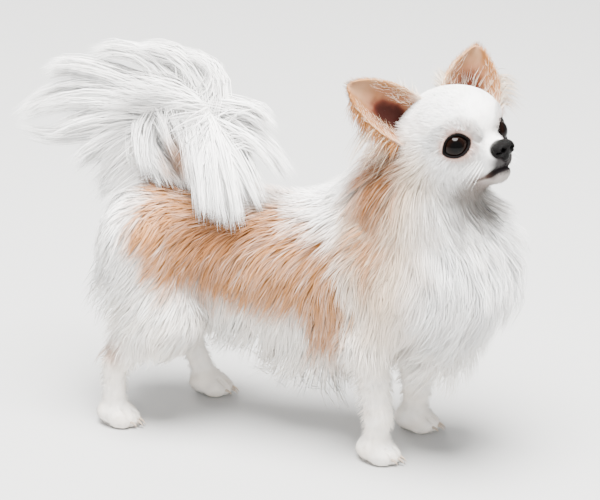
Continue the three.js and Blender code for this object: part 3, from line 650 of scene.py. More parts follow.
def skin_material():
    m, t, b = material("skin")
    att = node(t, "ShaderNodeAttribute", attribute_name="Col")
    noi = node(t, "ShaderNodeTexNoise")
    noi.inputs["Scale"].default_value = 700
    noi.inputs["Detail"].default_value = 4
    ramp = node(t, "ShaderNodeMapRange")
    ramp.inputs["To Min"].default_value, ramp.inputs["To Max"].default_value = 0.86, 1.06
    mul = node(t, "ShaderNodeVectorMath", operation="SCALE")
    t.links.new(noi.outputs["Fac"], ramp.inputs["Value"])
    t.links.new(att.outputs["Color"], mul.inputs[0])
    t.links.new(ramp.outputs["Result"], mul.inputs["Scale"])
    t.links.new(mul.outputs["Vector"], b.inputs["Base Color"])
    bump = node(t, "ShaderNodeBump")
    bump.inputs["Strength"].default_value, bump.inputs["Distance"].default_value = 0.35, 0.0006
    t.links.new(noi.outputs["Fac"], bump.inputs["Height"])
    t.links.new(bump.outputs["Normal"], b.inputs["Normal"])
    b.inputs["Roughness"].default_value = 0.6
    b.inputs["Specular IOR Level"].default_value = 0.06
    return m


def nose_material():
    m, t, b = material("nose_leather")
    vor = node(t, "ShaderNodeTexVoronoi")
    vor.inputs["Scale"].default_value = 1300
    ramp = node(t, "ShaderNodeValToRGB")
    ramp.color_ramp.elements[0].color, ramp.color_ramp.elements[1].color = (0.0012, 0.001, 0.001, 1), (0.004, 0.0035, 0.0035, 1)
    t.links.new(vor.outputs["Distance"], ramp.inputs["Fac"])
    t.links.new(ramp.outputs["Color"], b.inputs["Base Color"])
    bump = node(t, "ShaderNodeBump", invert=True)
    bump.inputs["Strength"].default_value, bump.inputs["Distance"].default_value = 0.5, 0.0003
    t.links.new(vor.outputs["Distance"], bump.inputs["Height"])
    t.links.new(bump.outputs["Normal"], b.inputs["Normal"])
    b.inputs["Roughness"].default_value = 0.36
    b.inputs["Specular IOR Level"].default_value = 0.07
    return m


def eye_material():
    m, t, b = material("eye")
    att = node(t, "ShaderNodeAttribute", attribute_name="gaze")
    ramp = node(t, "ShaderNodeValToRGB")
    e = ramp.color_ramp.elements
    e[0].position, e[0].color = 0.0, (0.001, 0.0008, 0.0008, 1)
    e[1].position, e[1].color = 1.0, (0.10, 0.07, 0.06, 1)
    for pos, c in ((0.30, (0.001, 0.0008, 0.0008)), (0.36, (0.0022, 0.0009, 0.0006)), (0.58, (0.006, 0.002, 0.001)), (0.72, (0.0015, 0.001, 0.0009)), (0.88, (0.006, 0.004, 0.004))):
        n = e.new(pos)
        n.color = (*c, 1)
    noi = node(t, "ShaderNodeTexNoise")
    noi.inputs["Scale"].default_value = 800
    add = node(t, "ShaderNodeMath", operation="MULTIPLY_ADD")
    add.inputs[1].default_value = 0.05
    t.links.new(noi.outputs["Fac"], add.inputs[0])
    t.links.new(att.outputs["Fac"], add.inputs[2])
    t.links.new(add.outputs["Value"], ramp.inputs["Fac"])
    t.links.new(ramp.outputs["Color"], b.inputs["Base Color"])
    b.inputs["Roughness"].default_value = 0.04
    b.inputs["Specular IOR Level"].default_value = 0.1
    return m


def claw_material():
    m, t, b = material("claw_horn")
    noi = node(t, "ShaderNodeTexNoise")
    noi.inputs["Scale"].default_value = 500
    ramp = node(t, "ShaderNodeValToRGB")
    ramp.color_ramp.elements[0].color, ramp.color_ramp.elements[1].color = (0.38, 0.28, 0.20, 1), (0.66, 0.56, 0.46, 1)
    t.links.new(noi.outputs["Fac"], ramp.inputs["Fac"])
    t.links.new(ramp.outputs["Color"], b.inputs["Base Color"])
    b.inputs["Roughness"].default_value = 0.35
    return m


# ---------------------------------------------------------------- mesh pieces
def to_frame(p):
    return ((p + SHIFT) / 1000).astype(F32)


def piece(name, verts, faces, mat, colours=None, uv=None, smooth=True, normals=None):
    """faces: list of (n, k) index arrays."""
    me = bpy.data.meshes.new(name)
    sizes = np.concatenate([np.full(len(f), f.shape[1], np.int32) for f in faces])
    flat = np.concatenate([f.reshape(-1) for f in faces]).astype(np.int32)
    me.vertices.add(len(verts))
    me.vertices.foreach_set("co", to_frame(verts).reshape(-1))
    me.loops.add(len(flat))
    me.loops.foreach_set("vertex_index", flat)
    me.polygons.add(len(sizes))
    start = np.concatenate([[0], np.cumsum(sizes)[:-1]]).astype(np.int32)
    me.polygons.foreach_set("loop_start", start)
    me.polygons.foreach_set("loop_total", sizes)
    me.polygons.foreach_set("use_smooth", np.full(len(sizes), smooth))
    if colours is not None:
        a = me.color_attributes.new("Col", "FLOAT_COLOR", "POINT")
        a.data.foreach_set("color", np.concatenate([colours, np.ones((len(colours), 1))], 1).astype(F32).reshape(-1))
    if uv is not None:
        layer = me.uv_layers.new(name="OFBake")
        layer.data.foreach_set("uv", uv[flat].astype(F32).reshape(-1))
    me.update()
    me.validate()
    if normals is not None:
        me.normals_split_custom_set_from_vertices(normals.astype(F32).tolist())
    me.materials.append(mat)
    o = bpy.data.objects.new(name, me)
    bpy.context.scene.collection.objects.link(o)
    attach(o, "root")
    return o


# ---------------------------------------------------------------- the skin
X = marks(-160, 178, lambda v: 0.78 if 102 < v < 170 else 2.1 if -52 < v < 56 else 1.25)
Y = marks(-62, 62, lambda v: 0.85 if -42 < v < 20 else 1.25)
Z = marks(-1.5, 296, lambda v: 1.0 if v < 27 else 0.78 if 206 < v < 256 else 1.05 if v >= 256 else 2.1)
skin_v, skin_q = skinned(skin_distance, X, Y, Z)
skin_v = skin_v.astype(float)
skin_v[:, 2] = np.maximum(skin_v[:, 2], 0.0)
tri = np.concatenate([skin_q[:, [0, 1, 2]], skin_q[:, [0, 2, 3]]])
A, B, C = (skin_v[tri[:, k]] for k in range(3))
cross = np.cross(B - A, C - A)
area = np.linalg.norm(cross, axis=1) / 2
skin_n = np.zeros_like(skin_v)
for k in range(3):
    for ax in range(3):
        skin_n[:, ax] += np.bincount(tri[:, k], cross[:, ax], len(skin_v))
skin_n = unit(skin_n)


def region_of(p):
    """Name of the nearest part of the body at each point."""
    o = parts_of(p, 0)
    for s in "rl":
        o["ear_" + s] = ear(p, s) - 0.8
    o["tail"] = dock(p) + 1.0
    names = list(o)
    return np.array(names)[np.argmin(np.stack([o[n] for n in names]), 0)]


skin_region = region_of(skin_v)
skin_col = markings_and_painted_shade(skin_v)
for s in "rl":
    on = np.isin(skin_region, ("ear_" + s, "head"))
    w = soft(skull(skin_v[on], 0) - ear(skin_v[on], s), -0.6, 1.6) * soft(6 - ear(skin_v[on], s), 0, 4)
    skin_col[on] = mix(skin_col[on], ear_marks_and_painted_shade(skin_v[on], s), w)
skin_col = head_marks_and_painted_shade(skin_v, skin_col)
soles = (skin_v[:, 2] < 0.6) & (skin_n[:, 2] < -0.6)
skin_col[soles] = linear(70, 58, 56)


def lid_margins():
    """Smooth rolled edges of the lids, as rings round the almonds."""
    c = np.repeat(ALMOND.astype(float), 4, 0)
    k = np.arange(len(c))
    f = (k % 4 / 4)[:, None]
    c = c * (1 - f) + np.roll(c, -4, 0) * f
    for _ in range(5):
        c = (np.roll(c, 1, 0) + 2 * c + np.roll(c, -1, 0)) / 4
    vs, qs, off, sides = [], [], 0, 12
    for s in SIDES:
        e, a, h, t = eye_frame(s)
        r = np.linalg.norm(c, axis=1)
        w = r / EYE_R
        d = np.cos(w)[:, None] * a + np.sin(w)[:, None] * (c[:, :1] * h + c[:, 1:] * t) / r[:, None]
        along = unit(np.roll(d, -1, 0) - np.roll(d, 1, 0))
        out = np.cross(along, d)
        out *= np.sign((out * (d - a)).sum(1).mean())
        th = 2 * np.pi * np.arange(sides) / sides
        ring = (d * (EYE_R + 0.7) + out * 0.3)[:, None] + out[:, None] * (0.95 * np.cos(th))[None, :, None] + d[:, None] * (0.85 * np.sin(th))[None, :, None]
        v = HEAD + (e + ring).reshape(-1, 3) @ RH.T
        i, j = np.meshgrid(np.arange(len(c)), np.arange(sides), indexing="ij")
        i2, j2 = (i + 1) % len(c), (j + 1) % sides
        q = np.stack([i * sides + j, i2 * sides + j, i2 * sides + j2, i * sides + j2], -1).reshape(-1, 4)
        m = v[q].mean(1) - v.mean(0)
        vol = (v[q[:, 0]] - v.mean(0) * 1.0) * np.cross(v[q[:, 1]] - v.mean(0), v[q[:, 2]] - v.mean(0)) + (v[q[:, 0]] - v.mean(0)) * np.cross(v[q[:, 2]] - v.mean(0), v[q[:, 3]] - v.mean(0))
        if vol.sum() < 0:
            q = q[:, ::-1]
        vs.append(v), qs.append(q + off)
        off += len(v)
    return np.concatenate(vs), np.concatenate(qs).astype(np.int32)


rim_v, rim_q = lid_margins()
skin = piece("skin", np.concatenate([skin_v, rim_v]), [skin_q, rim_q + len(skin_v)], skin_material(), np.concatenate([skin_col, np.repeat(linear(9, 6, 6)[None], len(rim_v), 0)]))
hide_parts("trunk", "neck", "head", "jaw", "ear_right", "ear_left", "foreleg_right", "foreleg_left", "hindleg_right", "hindleg_left", "tail_base", "tail_brush")
print("skin", len(skin_v), len(skin_q) * 2)

# ---------------------------------------------------------------- nose, eyes, claws
nc = head_point(45, 0, -10)
nv, nq = skinned(nose_distance, *(marks(nc[k] - 13, nc[k] + 13, lambda v: 0.5) for k in range(3)))
nose = piece("nose_leather", nv.astype(float), [nq], nose_material())
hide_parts("nose")

eye_mat = eye_material()
for side, s in (("right", -1), ("left", 1)):
    e, a, h, t = eye_frame(s)
    rings, segs = 40, 56
    pts, ang = [e + a * (EYE_R + 0.5)], [0.0]
    for i in range(1, rings):
        th = math.pi * i / rings
        bulge = 0.5 * max(0.0, 1 - (th / 0.75) ** 2)
        for j in range(segs):
            ph = 2 * math.pi * j / segs
            pts.append(e + (EYE_R + bulge) * (math.cos(th) * a + math.sin(th) * (math.cos(ph) * h + math.sin(ph) * t)))
            ang.append(min(1.0, EYE_R * th / 12.0))
    pts.append(e - a * EYE_R)
    ang.append(1.0)
    v = HEAD + np.array(pts) @ RH.T
    at = lambda i, j: 1 + (i - 1) * segs + j % segs
    fan = [(0, at(1, j), at(1, j + 1)) for j in range(segs)] + [(len(pts) - 1, at(rings - 1, j + 1), at(rings - 1, j)) for j in range(segs)]
    band = [(at(i, j), at(i + 1, j), at(i + 1, j + 1), at(i, j + 1)) for i in range(1, rings - 1) for j in range(segs)]
    fan, band = np.array(fan), np.array(band)
    n = np.cross(v[fan[0, 1]] - v[fan[0, 0]], v[fan[0, 2]] - v[fan[0, 0]])
    if n @ (RH @ a) < 0:
        fan, band = fan[:, ::-1], band[:, ::-1]
    o = piece("eyeball_" + side, v, [fan, band], eye_mat)
    g = o.data.attributes.new("gaze", "FLOAT", "POINT")
    g.data.foreach_set("value", np.array(ang, F32))
    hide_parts("eye_" + side)

claw_mat = claw_material()
for key in FEET:
    for i, v0 in enumerate((-7.6, -2.7, 2.7, 7.6)):
        R = turned(FOOT_YAW[key] - v0 * 1.6)
        base = V(*FEET[key], 0) + turned(FOOT_YAW[key]) @ V(13 if abs(v0) < 5 else 9.5, v0, 5.4)
        P0, P1, P2 = (base + R @ V(*c) for c in ((5.4, 0, 0), (11.2, 0, 0.8), (13.4, 0, -4.0)))
        rings, segs = 7, 10
        pts = []
        for r in range(rings):
            t = r / rings
            c = P0 * (1 - t) ** 2 + 2 * P1 * t * (1 - t) + P2 * t * t
            d = unit(2 * (P1 - P0) * (1 - t) + 2 * (P2 - P1) * t)
            side = R[:, 1]
            up = np.cross(d, side)
            w = (1 - t) ** 0.7
            pts += [c + side * math.cos(2 * math.pi * j / segs) * 1.15 * w + up * math.sin(2 * math.pi * j / segs) * 1.45 * w for j in range(segs)]
        pts += [P2, P0]
        at = lambda r, j: r * segs + j % segs
        tip, end = len(pts) - 2, len(pts) - 1
        q = np.array([(at(r, j), at(r, j + 1), at(r + 1, j + 1), at(r + 1, j)) for r in range(rings - 1) for j in range(segs)])
        f = np.array([(at(rings - 1, j), at(rings - 1, j + 1), tip) for j in range(segs)] + [(at(0, j + 1), at(0, j), end) for j in range(segs)])
        pts = np.array(pts)
        n = np.cross(pts[q[0, 1]] - pts[q[0, 0]], pts[q[0, 3]] - pts[q[0, 0]])
        if n @ (pts[q[0, 0]] - P0) < 0:
            q, f = q[:, ::-1], f[:, ::-1]
        name = f"claw_{key}_{i + 1}"
        o = piece("horn_" + name, pts, [q, f], claw_mat)
        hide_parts(name)

# ---------------------------------------------------------------- fields that the hair grows in
GRID = 3.0
G0 = V(-170, -78, -6)
GN = (122, 53, 102)
gx, gy, gz = (G0[k] + GRID * np.arange(GN[k]) for k in range(3))
gp = np.stack(np.meshgrid(gx, gy, gz, indexing="ij"), -1).reshape(-1, 3).astype(F32)


def field(f):
    d = np.concatenate([f(gp[i : i + 150000]) for i in range(0, len(gp), 150000)]).reshape(GN)
    g = np.gradient(d, GRID)
    return np.stack([d, *g], -1).reshape(-1, 4).astype(F32)


BOTH = np.concatenate([field(body_skin), field(body_coat)], 1)


def look(p):
    """Distances to skin and coat and their slopes at points p."""
    q = np.clip((p - G0) / GRID, 0, np.array(GN) - 1.001)
    i = q.astype(int)
    f = (q - i).astype(F32)
    out = 0
    for a in (0, 1):
        for b in (0, 1):
            for c in (0, 1):
                w = (f[:, 0] if a else 1 - f[:, 0]) * (f[:, 1] if b else 1 - f[:, 1]) * (f[:, 2] if c else 1 - f[:, 2])
                out = out + w[:, None] * BOTH[((i[:, 0] + a) * GN[1] + i[:, 1] + b) * GN[2] + i[:, 2] + c]
    return out[:, 0], unit(out[:, 1:4]), out[:, 4], unit(out[:, 5:8])


def flow(p, n, region):
    """The lie of the coat: the way the hair points at p."""
    x, y, z = p.T
    sy = np.tanh(y / 14)
    out = np.zeros_like(p)
    q = in_head(p)
    # trunk: back along the top, down the sides, straight down under the belly
    low = soft(150 - z, -34, 40)
    fx = -0.95 + 0.60 * low + 0.30 * soft(x, 10, 70)
    body = np.stack([fx, 0.40 * sy * (1 - low), -0.25 - 0.95 * low], 1)
    # neck and ruff: down and outwards
    front = soft(x, 70, 130)
    ruff = np.stack([-0.42 + 0.95 * front * (0.30 + 0.70 * soft(z, 110, 190)), 0.34 * sy, -1.0 - 0 * x], 1)
    chest = soft(x, 64, 94)[:, None]
    body = unit(body) * (1 - chest) + unit(ruff) * chest
    # head: away from the nose, the cheeks also down, round the eyes
    hv = np.stack([-1.0 - 0 * x, 0.15 * np.tanh(q[:, 1] / 8), -0.95 * soft(-q[:, 2], -8, 18)], 1)
    over = np.stack([-0.8 - 0 * x, 0 * x, 0.7 * soft(q[:, 0], 20, 34)], 1)
    top = soft(q[:, 2], -6, 8)[:, None]
    head = unit(hv * (1 - top) + over * top)
    for s in SIDES:
        e, a, _, _ = eye_frame(s)
        d = q - e
        r = d - (d @ a)[:, None] * a
        w = 1 - soft(np.linalg.norm(r, axis=1), 9, 19)
        head = unit(head + unit(r) * (1.5 * w * ((d @ a) > -4))[:, None])
    head = head @ RH.T
    under = soft(-q[:, 2], 17, 30)[:, None]
    head = unit(head * (1 - under) + unit(ruff) * under)
    leg = np.stack([-0.12 - 0.45 * soft(-n[:, 0], 0.1, 0.8), 0 * x, -1.0 - 0 * x], 1)
    thigh = np.stack([-0.55 - 0.25 * soft(-n[:, 0], 0.2, 0.9), 0 * x, -0.95 - 0 * x], 1)
    toes = np.stack([1.0 + 0 * x, 0 * x, -0.35 - 0 * x], 1)
    for name, v in (("trunk", body), ("neck", ruff), ("head", head), ("tail", body)):
        m = region == name
        out[m] = v[m]
    for k in FEET:
        m = region == k
        if k[0] == "f":
            w = soft(z, 96, 130)[:, None]
            v = leg * (1 - w) + body * w
        else:
            w = soft(z, 60, 84)[:, None]
            v = leg * (1 - w) + thigh * w
        w = soft(-z, -22, -12)[:, None]
        v = unit(v) * (1 - w) + unit(toes) * w
        out[m] = v[m]
    return unit(out)


def grow(root, n, region, length, rise, steps, jitter, lift, loose):
    """Paths of the hairs: arrays of steps + 1 points. rise is the share of the coat's depth that the end reaches."""
    p = root - n * 0.5
    path = [p]
    sway = np.stack([noise(root, 30, k) for k in range(3)], 1) * 0.16 + np.stack([noise(root, 11, k) for k in range(3)], 1) * 0.10
    sway += jitter * rng.normal(size=p.shape)
    step = (length / steps)[:, None]
    for k in range(steps):
        t = (k + 1) / steps
        ds, gs, de, ge = look(p)
        depth = np.maximum(ds - de, 1.0)
        want = rise * depth * (1 - (1 - t) ** 1.7)
        f = unit(flow(p, gs, region) + sway)
        fn = (f * gs).sum(1)
        f = f - gs * np.minimum(fn, 0)[:, None]
        up = np.clip((want - ds) / step[:, 0], -0.9, 1.5)
        up = np.where(k == 0, np.maximum(up, lift), up)
        d = unit(unit(f) + gs * (up - np.maximum(fn, 0) * 0.5)[:, None])
        q = p + d * step
        ds, gs, de, ge = look(q)
        free = 1.0 + 4.0 * t + loose * t * soft(-d[:, 2], 0.6, 0.95)
        q = q - ge * np.maximum(de - free, 0)[:, None]
        ds, gs, de, ge = look(q)
        q = q + gs * np.maximum(0.3 - ds, 0)[:, None]
        q[:, 2] = np.maximum(q[:, 2], 0.8)
        path.append(q)
        p = q
    return np.stack(path, 1)


def clump(path, root, region_id, every, strength, reach):
    """Draws each hair towards the nearest of some guide hairs, more so towards its end."""
    n = len(root)
    guides = np.arange(rng.integers(0, every), n, every)
    tree = KDTree(len(guides))
    for i, g in enumerate(guides):
        tree.insert(root[g], i)
    tree.balance()
    near = np.array([tree.find(r)[1] for r in root])
    g = guides[near]
    far = np.linalg.norm(root - root[g], axis=1)
    ok = (region_id == region_id[g]) & (far < reach)
    t = np.linspace(0, 1, path.shape[1])[None, :, None]
    s = (np.asarray(strength) * ok * np.clip(1.4 - far / reach, 0, 1))[:, None, None]
    return path + (path[g] + (path - path[g]) * 0.12 - path) * s * t**1.3


def uv_of(p, region):
    """Where a root lies on an unwrap of the body: drums round the trunk, neck and legs, a globe for the head, leaves for the ears, a ribbon for the tail."""
    x, y, z = p.T
    out = np.zeros((len(p), 2))
    turn = lambda a, b: np.arctan2(a, b) / (2 * np.pi) + 0.5
    q = in_head(p)
    for name in np.unique(region):
        m = region == name
        if name in ("trunk", "neck"):
            u, v, box = turn(y[m], z[m] - 130), np.clip((x[m] + 150) / 310, 0, 1), (0, 0, 1, 0.46)
        elif name == "head":
            u, v, box = turn(q[m, 1], q[m, 2]), np.clip((q[m, 0] + 40) / 95, 0, 1), (0, 0.47, 0.5, 0.82)
        elif name in FEET:
            k = list(FEET).index(name)
            fx, fy = FEET[name]
            u, v, box = turn(y[m] - fy, x[m] - fx), np.clip(z[m] / 160, 0, 1), (0.5 + 0.125 * k, 0.47, 0.62 + 0.125 * k, 0.82)
        elif name == "tail":
            u, v, box = turn(y[m] + 8, z[m] - 200), np.clip((x[m] + 125) / 100, 0, 1), (0.42, 0.83, 1, 1)
        else:
            h, w, d, L, half = ear_coordinates(p[m], name[-1])
            k = 0 if name[-1] == "r" else 1
            u, v, box = np.clip((w / half + 1) / 2, 0, 1), np.clip((h + 0.2) / 1.2, 0, 1) / 2 + 0.5 * (d < ear_cup(h, w, ear_half(h, half))), (0.21 * k, 0.83, 0.20 + 0.21 * k, 1)
        out[m, 0] = box[0] + 0.002 + u * (box[2] - box[0] - 0.004)
        out[m, 1] = box[1] + 0.002 + v * (box[3] - box[1] - 0.004)
    return out


def tufts(path, up, width, thick, colour, uv, root_painted_shade=0.85, tip_painted_light=1.03, taper=1.0, slope=None):
    """Closed three-sided tapered tufts along the paths. up: which way each one's ridge faces. slope: the body's own, which shades them softly."""
    n, m, _ = path.shape
    d = unit(np.gradient(path, axis=1))
    side = unit(np.cross(d, up[:, None, :] + 1e-6))
    ridge = np.cross(side, d)
    t = np.linspace(0, 1, m)
    w = width[:, None] * (0.72 + 0.28 * np.sin(np.pi * np.clip(t * 1.6, 0, 1))) * np.clip(1 - t, 0, 1) ** (0.62 * taper)
    w = w[..., None]
    a = path + side * w / 2
    b = path - side * w / 2
    c = path + ridge * w * thick
    rings = np.stack([a, b, c], 2)[:, : m - 1]
    per = 3 * (m - 1) + 1
    verts = np.concatenate([rings.reshape(n, -1, 3), path[:, -1:, :]], 1)
    # painted shade at the roots of the hairs and painted light towards their tips, warmer at the roots
    painted_shade_and_light = root_painted_shade + (tip_painted_light - root_painted_shade) * np.clip(t / 0.5, 0, 1)
    cols = (colour if colour.ndim == 3 else colour[:, None, :]) * painted_shade_and_light[None, :, None] ** np.where(np.arange(3) == 2, 1.15, 1.0)
    cols = np.concatenate([np.repeat(cols[:, : m - 1], 3, 1), cols[:, -1:]], 1)
    own = np.stack([side * 0.9 - ridge * 0.3, -side * 0.9 - ridge * 0.3, ridge], 2)[:, : m - 1].reshape(n, -1, 3)
    own = np.concatenate([own, ridge[:, -1:]], 1)
    nrm = unit(own * 0.45 + (up if slope is None else slope)[:, None, :] * 0.8)
    du = (t - 0.5) * 0.003
    duv = np.concatenate([np.stack([np.tile([-0.001, 0.001, 0.0], m - 1), np.repeat(du[:-1], 3)], 1), [[0, du[-1]]]])
    uvs = uv[:, None, :] + duv[None]
    base = np.arange(n)[:, None, None] * per
    f = [[0, 1, 2]]
    for r in range(m - 2):
        o, q = 3 * r, 3 * r + 3
        for i, j in ((0, 1), (1, 2), (2, 0)):
            f += [[o + j, o + i, q + i], [o + j, q + i, q + j]]
    o = 3 * (m - 2)
    f += [[o + 1, o, per - 1], [o + 2, o + 1, per - 1], [o, o + 2, per - 1]]
    faces = (base + np.array(f)[None, :, ::-1]).reshape(-1, 3)
    return verts.reshape(-1, 3), faces, np.clip(cols.reshape(-1, 3), 0, 1), uvs.reshape(-1, 2), nrm.reshape(-1, 3)


coat_mat = hair_material("coat_hair")
coat_count = 0


def coat_piece(name, groups):
    """One object of several groups of tufts."""
    global coat_count
    off, vs, fs, cs, us, ns = 0, [], [], [], [], []
    for v, f, c, u, nr in groups:
        vs.append(v), fs.append(f + off), cs.append(c), us.append(u), ns.append(nr)
        off += len(v)
    v, f = np.concatenate(vs), np.concatenate(fs)
    o = piece(name, v, [f], coat_mat, np.concatenate(cs), np.concatenate(us), normals=np.concatenate(ns))
    coat_count += len(f)
    print(name, len(f))
    return o


tri_region = skin_region[tri[:, 0]]
tri_mid = (A + B + C) / 3
tri_n = unit(cross)


def scatter(weight, count):
    """Evenly spread roots over the skin, as many per area as weight says."""
    c = np.cumsum(weight * area)
    pick = np.searchsorted(c, (np.arange(count) + rng.random(count)) / count * c[-1])
    pick = np.minimum(pick, len(c) - 1)
    u, v = rng.random(count), rng.random(count)
    flip = u + v > 1
    u, v = np.where(flip, 1 - u, u), np.where(flip, 1 - v, v)
    w = np.stack([1 - u - v, u, v], 1)
    t = tri[pick]
    p = (skin_v[t] * w[..., None]).sum(1)
    n = unit((skin_n[t] * w[..., None]).sum(1))
    return p, n, tri_region[pick]


tq = in_head(tri_mid)
lid_gap = np.full(len(tri), 40.0)
for s in SIDES:
    near = np.linalg.norm(tq - eye_frame(s)[0], axis=1) < 22
    f, n = lid_opening(tq[near], s)
    lid_gap[near] = np.minimum(lid_gap[near], f)
face_clear = (lid_gap > 1.0) * (nose_distance(tri_mid) > 1.2) * (lip_distance(tq) > 1.9) * 1.0


def in_the_way(path, root, region):
    """Hairs that would cross an eye or the nose leather."""
    bad = np.zeros(len(path), bool)
    h = np.nonzero((region == "head") & (in_head(root)[:, 0] > -6))[0]
    if not len(h):
        return bad
    pts = np.concatenate([path[h, 1:], (path[h, 1:] + path[h, :-1]) / 2], 1)
    q = in_head(pts.reshape(-1, 3))
    hit = nose_distance(pts.reshape(-1, 3)) < 0.2
    hit |= lip_distance(q) < 1.4
    for s in SIDES:
        f, n = lid_opening(q, s)
        hit |= (f < 0.4) & (n < EYE_R + 9)
    bad[h] = hit.reshape(len(h), -1).any(1)
    return bad


def body_tufts(where, count, length, rise, steps, width, thick, jitter, lift, every, strength, reach, painted_shade_and_light=0.85, colour_at=0.35, vary=0.04, loose=0.0, trim=None):
    """Grows one group of tufts. length, rise, width, strength: numbers or functions of (root, normal, depth)."""
    p, n, reg = scatter(where, count)
    ds, gs, de, ge = look(p + n * 0.5)
    depth = np.maximum(-de, 1.0)
    val = lambda v: v(p, n, depth) if callable(v) else np.full(count, float(v))
    L = val(length) * rng.uniform(0.78, 1.15, count)
    path = grow(p, n, reg, L, val(rise) * rng.uniform(0.84, 1.1, count), steps, jitter, lift, loose)
    path = clump(path, p, np.unique(reg, return_inverse=True)[1], every, val(strength), reach)
    keep = ~in_the_way(path, p, reg)
    w = val(width) * rng.uniform(0.75, 1.25, count)
    p, n, reg, path, w = p[keep], n[keep], reg[keep], path[keep], w[keep]
    k = colour_at * steps
    i = int(k)
    at = path[:, i] + (path[:, min(i + 1, steps)] - path[:, i]) * (k - i)
    col = markings_and_painted_shade(at)
    hd = reg == "head"
    if hd.any():
        col[hd] = head_marks_and_painted_shade(p[hd], col[hd], True)
    pale = np.clip(np.abs(rng.normal(size=len(p))) * 0.06 - 0.02, 0, 0.3) * soft(col[:, 1], 0.08, 0.2)
    col = mix(col, WHITE[None], pale) * (1 + vary * rng.normal(size=(len(p), 1)))
    up = unit(n + 0.5 * rng.normal(size=n.shape))
    # the root factor passed on here is the painted shade at the roots of the hairs
    return tufts(path, up, w, thick, col, uv_of(p, reg), painted_shade_and_light, slope=unit(gs[keep] + ge[keep] + 0.35 * rng.normal(size=n.shape)))


def on(*names):
    return np.isin(tri_region, names) * 1.0


tx, ty, tz = tri_mid.T
tds, _, tde, _ = look(tri_mid)
tdepth = np.maximum(-tde, 0)
hind, fore = on("hr", "hl"), on("fr", "fl")
thigh_part, shoulder_part = soft(tz, 62, 84), soft(tz, 84, 110)

# face: short fine hair that lies flat, then longer behind the cheeks and on the nape
short = on("head") * face_clear * (1 - soft(tdepth, 5, 10))
def eye_gap(p):
    """Rough millimetres from the nearer eye's lids."""
    q = in_head(p)
    return np.minimum(*(np.linalg.norm(q - eye_frame(s)[0], axis=1) for s in SIDES)) - 12


face_len = lambda p, n, d: np.clip((2.6 + 4.2 * soft(-in_head(p)[:, 0], -34, 2)) * (0.5 + 0.5 * soft(np.abs(in_head(p)[:, 1]), 6, 16)) + 0.5 * d, 2.4, 12) * (0.4 + 0.6 * soft(eye_gap(p), 0, 10))
face_w = lambda p, n, d: (0.25 + 0.20 * soft(-in_head(p)[:, 0], -34, 6)) * (0.7 + 0.3 * soft(eye_gap(p), 0, 8))
for i in range(2):
    g = body_tufts(short * (1 + 0.9 * soft(tq[:, 0], 8, 24)), 12500, face_len, 0.55, 2, face_w, 0.25, 0.10, 0.06, 10, 0.2, 6, 0.97, 0.2, 0.02)
    whisk = []
    if i == 0:
        for s in SIDES:
            for k in range(11):
                r = V(34 - 1.9 * (k // 3), s * (8.6 + 0.6 * (k // 3)), -12.5 - 2.4 * (k % 3))
                d = unit(V(0.35 - 0.12 * (k // 3), s * 1.0, -0.25 - 0.12 * (k % 3)))
                t = np.linspace(0, 1, 6)[:, None]
                whisk.append(HEAD + (r + d * t * (17 + 2 * (k % 4)) + V(-1, 0, -1) * t**2 * 5) @ RH.T)
        whisk = np.array(whisk)
        w = tufts(whisk, np.tile(V(0, 0, 1), (len(whisk), 1)), np.full(len(whisk), 0.3), 0.5, np.tile(WHITE, (len(whisk), 1)), uv_of(whisk[:, 0], np.full(len(whisk), "head")), 1.0)
        coat_piece("coat_face_1", [g, w])
    else:
        coat_piece("coat_face_2", [g])
long = on("head") * face_clear * soft(tdepth, 4, 9)
cheek_len = lambda p, n, d: np.clip(7 + 1.15 * d, 9, 40) * (0.6 + 0.4 * soft(-in_head(p)[:, 0], -10, 8))
cheek_rise = lambda p, n, d: 0.4 + 0.6 * soft(-in_head(p)[:, 0], -8, 12)
g = body_tufts(long, 7600, cheek_len, cheek_rise, 3, lambda p, n, d: 0.36 + 0.30 * soft(d, 6, 16), 0.28, 0.12, 0.2, 14, 0.4, 9, 0.95)
coat_piece("coat_cheeks", [g])

# ruff and neck
neck_zone = on("neck") + 0.8 * on("trunk") * soft(tx, 62, 88) + 0.6 * fore * soft(tz, 98, 118) * soft(tx, 74, 96)
ruff_len = lambda p, n, d: np.clip(16 + d * 1.55, 20, 84)
for i, (count, w, rise, every) in enumerate(((6000, 2.1, 0.8, 30), (7900, 0.8, 1.08, 18))):
    g = body_tufts(neck_zone * (1 + 0.5 * soft(tx, 90, 120)), count, ruff_len, rise, 4, w, 0.3, 0.09, 0.35, every, 0.66, 16, 0.9, loose=9)
    coat_piece(f"coat_ruff_{i + 1}", [g])

# trunk with the thighs and shoulders
trunk_zone = on("trunk") * (1 - soft(tx, 66, 90)) + hind * thigh_part + fore * shoulder_part * (1 - soft(tx, 80, 98)) + 0.5 * on("tail") * (tz < 186)
trunk_len = lambda p, n, d: np.clip(15 + d * 1.35, 18, 78) * (1 + 0.35 * soft(-p[:, 0], 96, 122)) * (1 + 0.16 * soft(-p[:, 2], -108, -92))
for i, (count, w, rise, every) in enumerate(((8200, 1.8, 0.8, 30), (10700, 0.72, 1.08, 16))):
    g = body_tufts(trunk_zone * (1 + 0.8 * soft(104 - tz, 0, 12)), count, trunk_len, rise, 3, w, 0.3, 0.10, 0.3, every, 0.52, 13, 0.86, loose=8)
    coat_piece(f"coat_trunk_{i + 1}", [g])

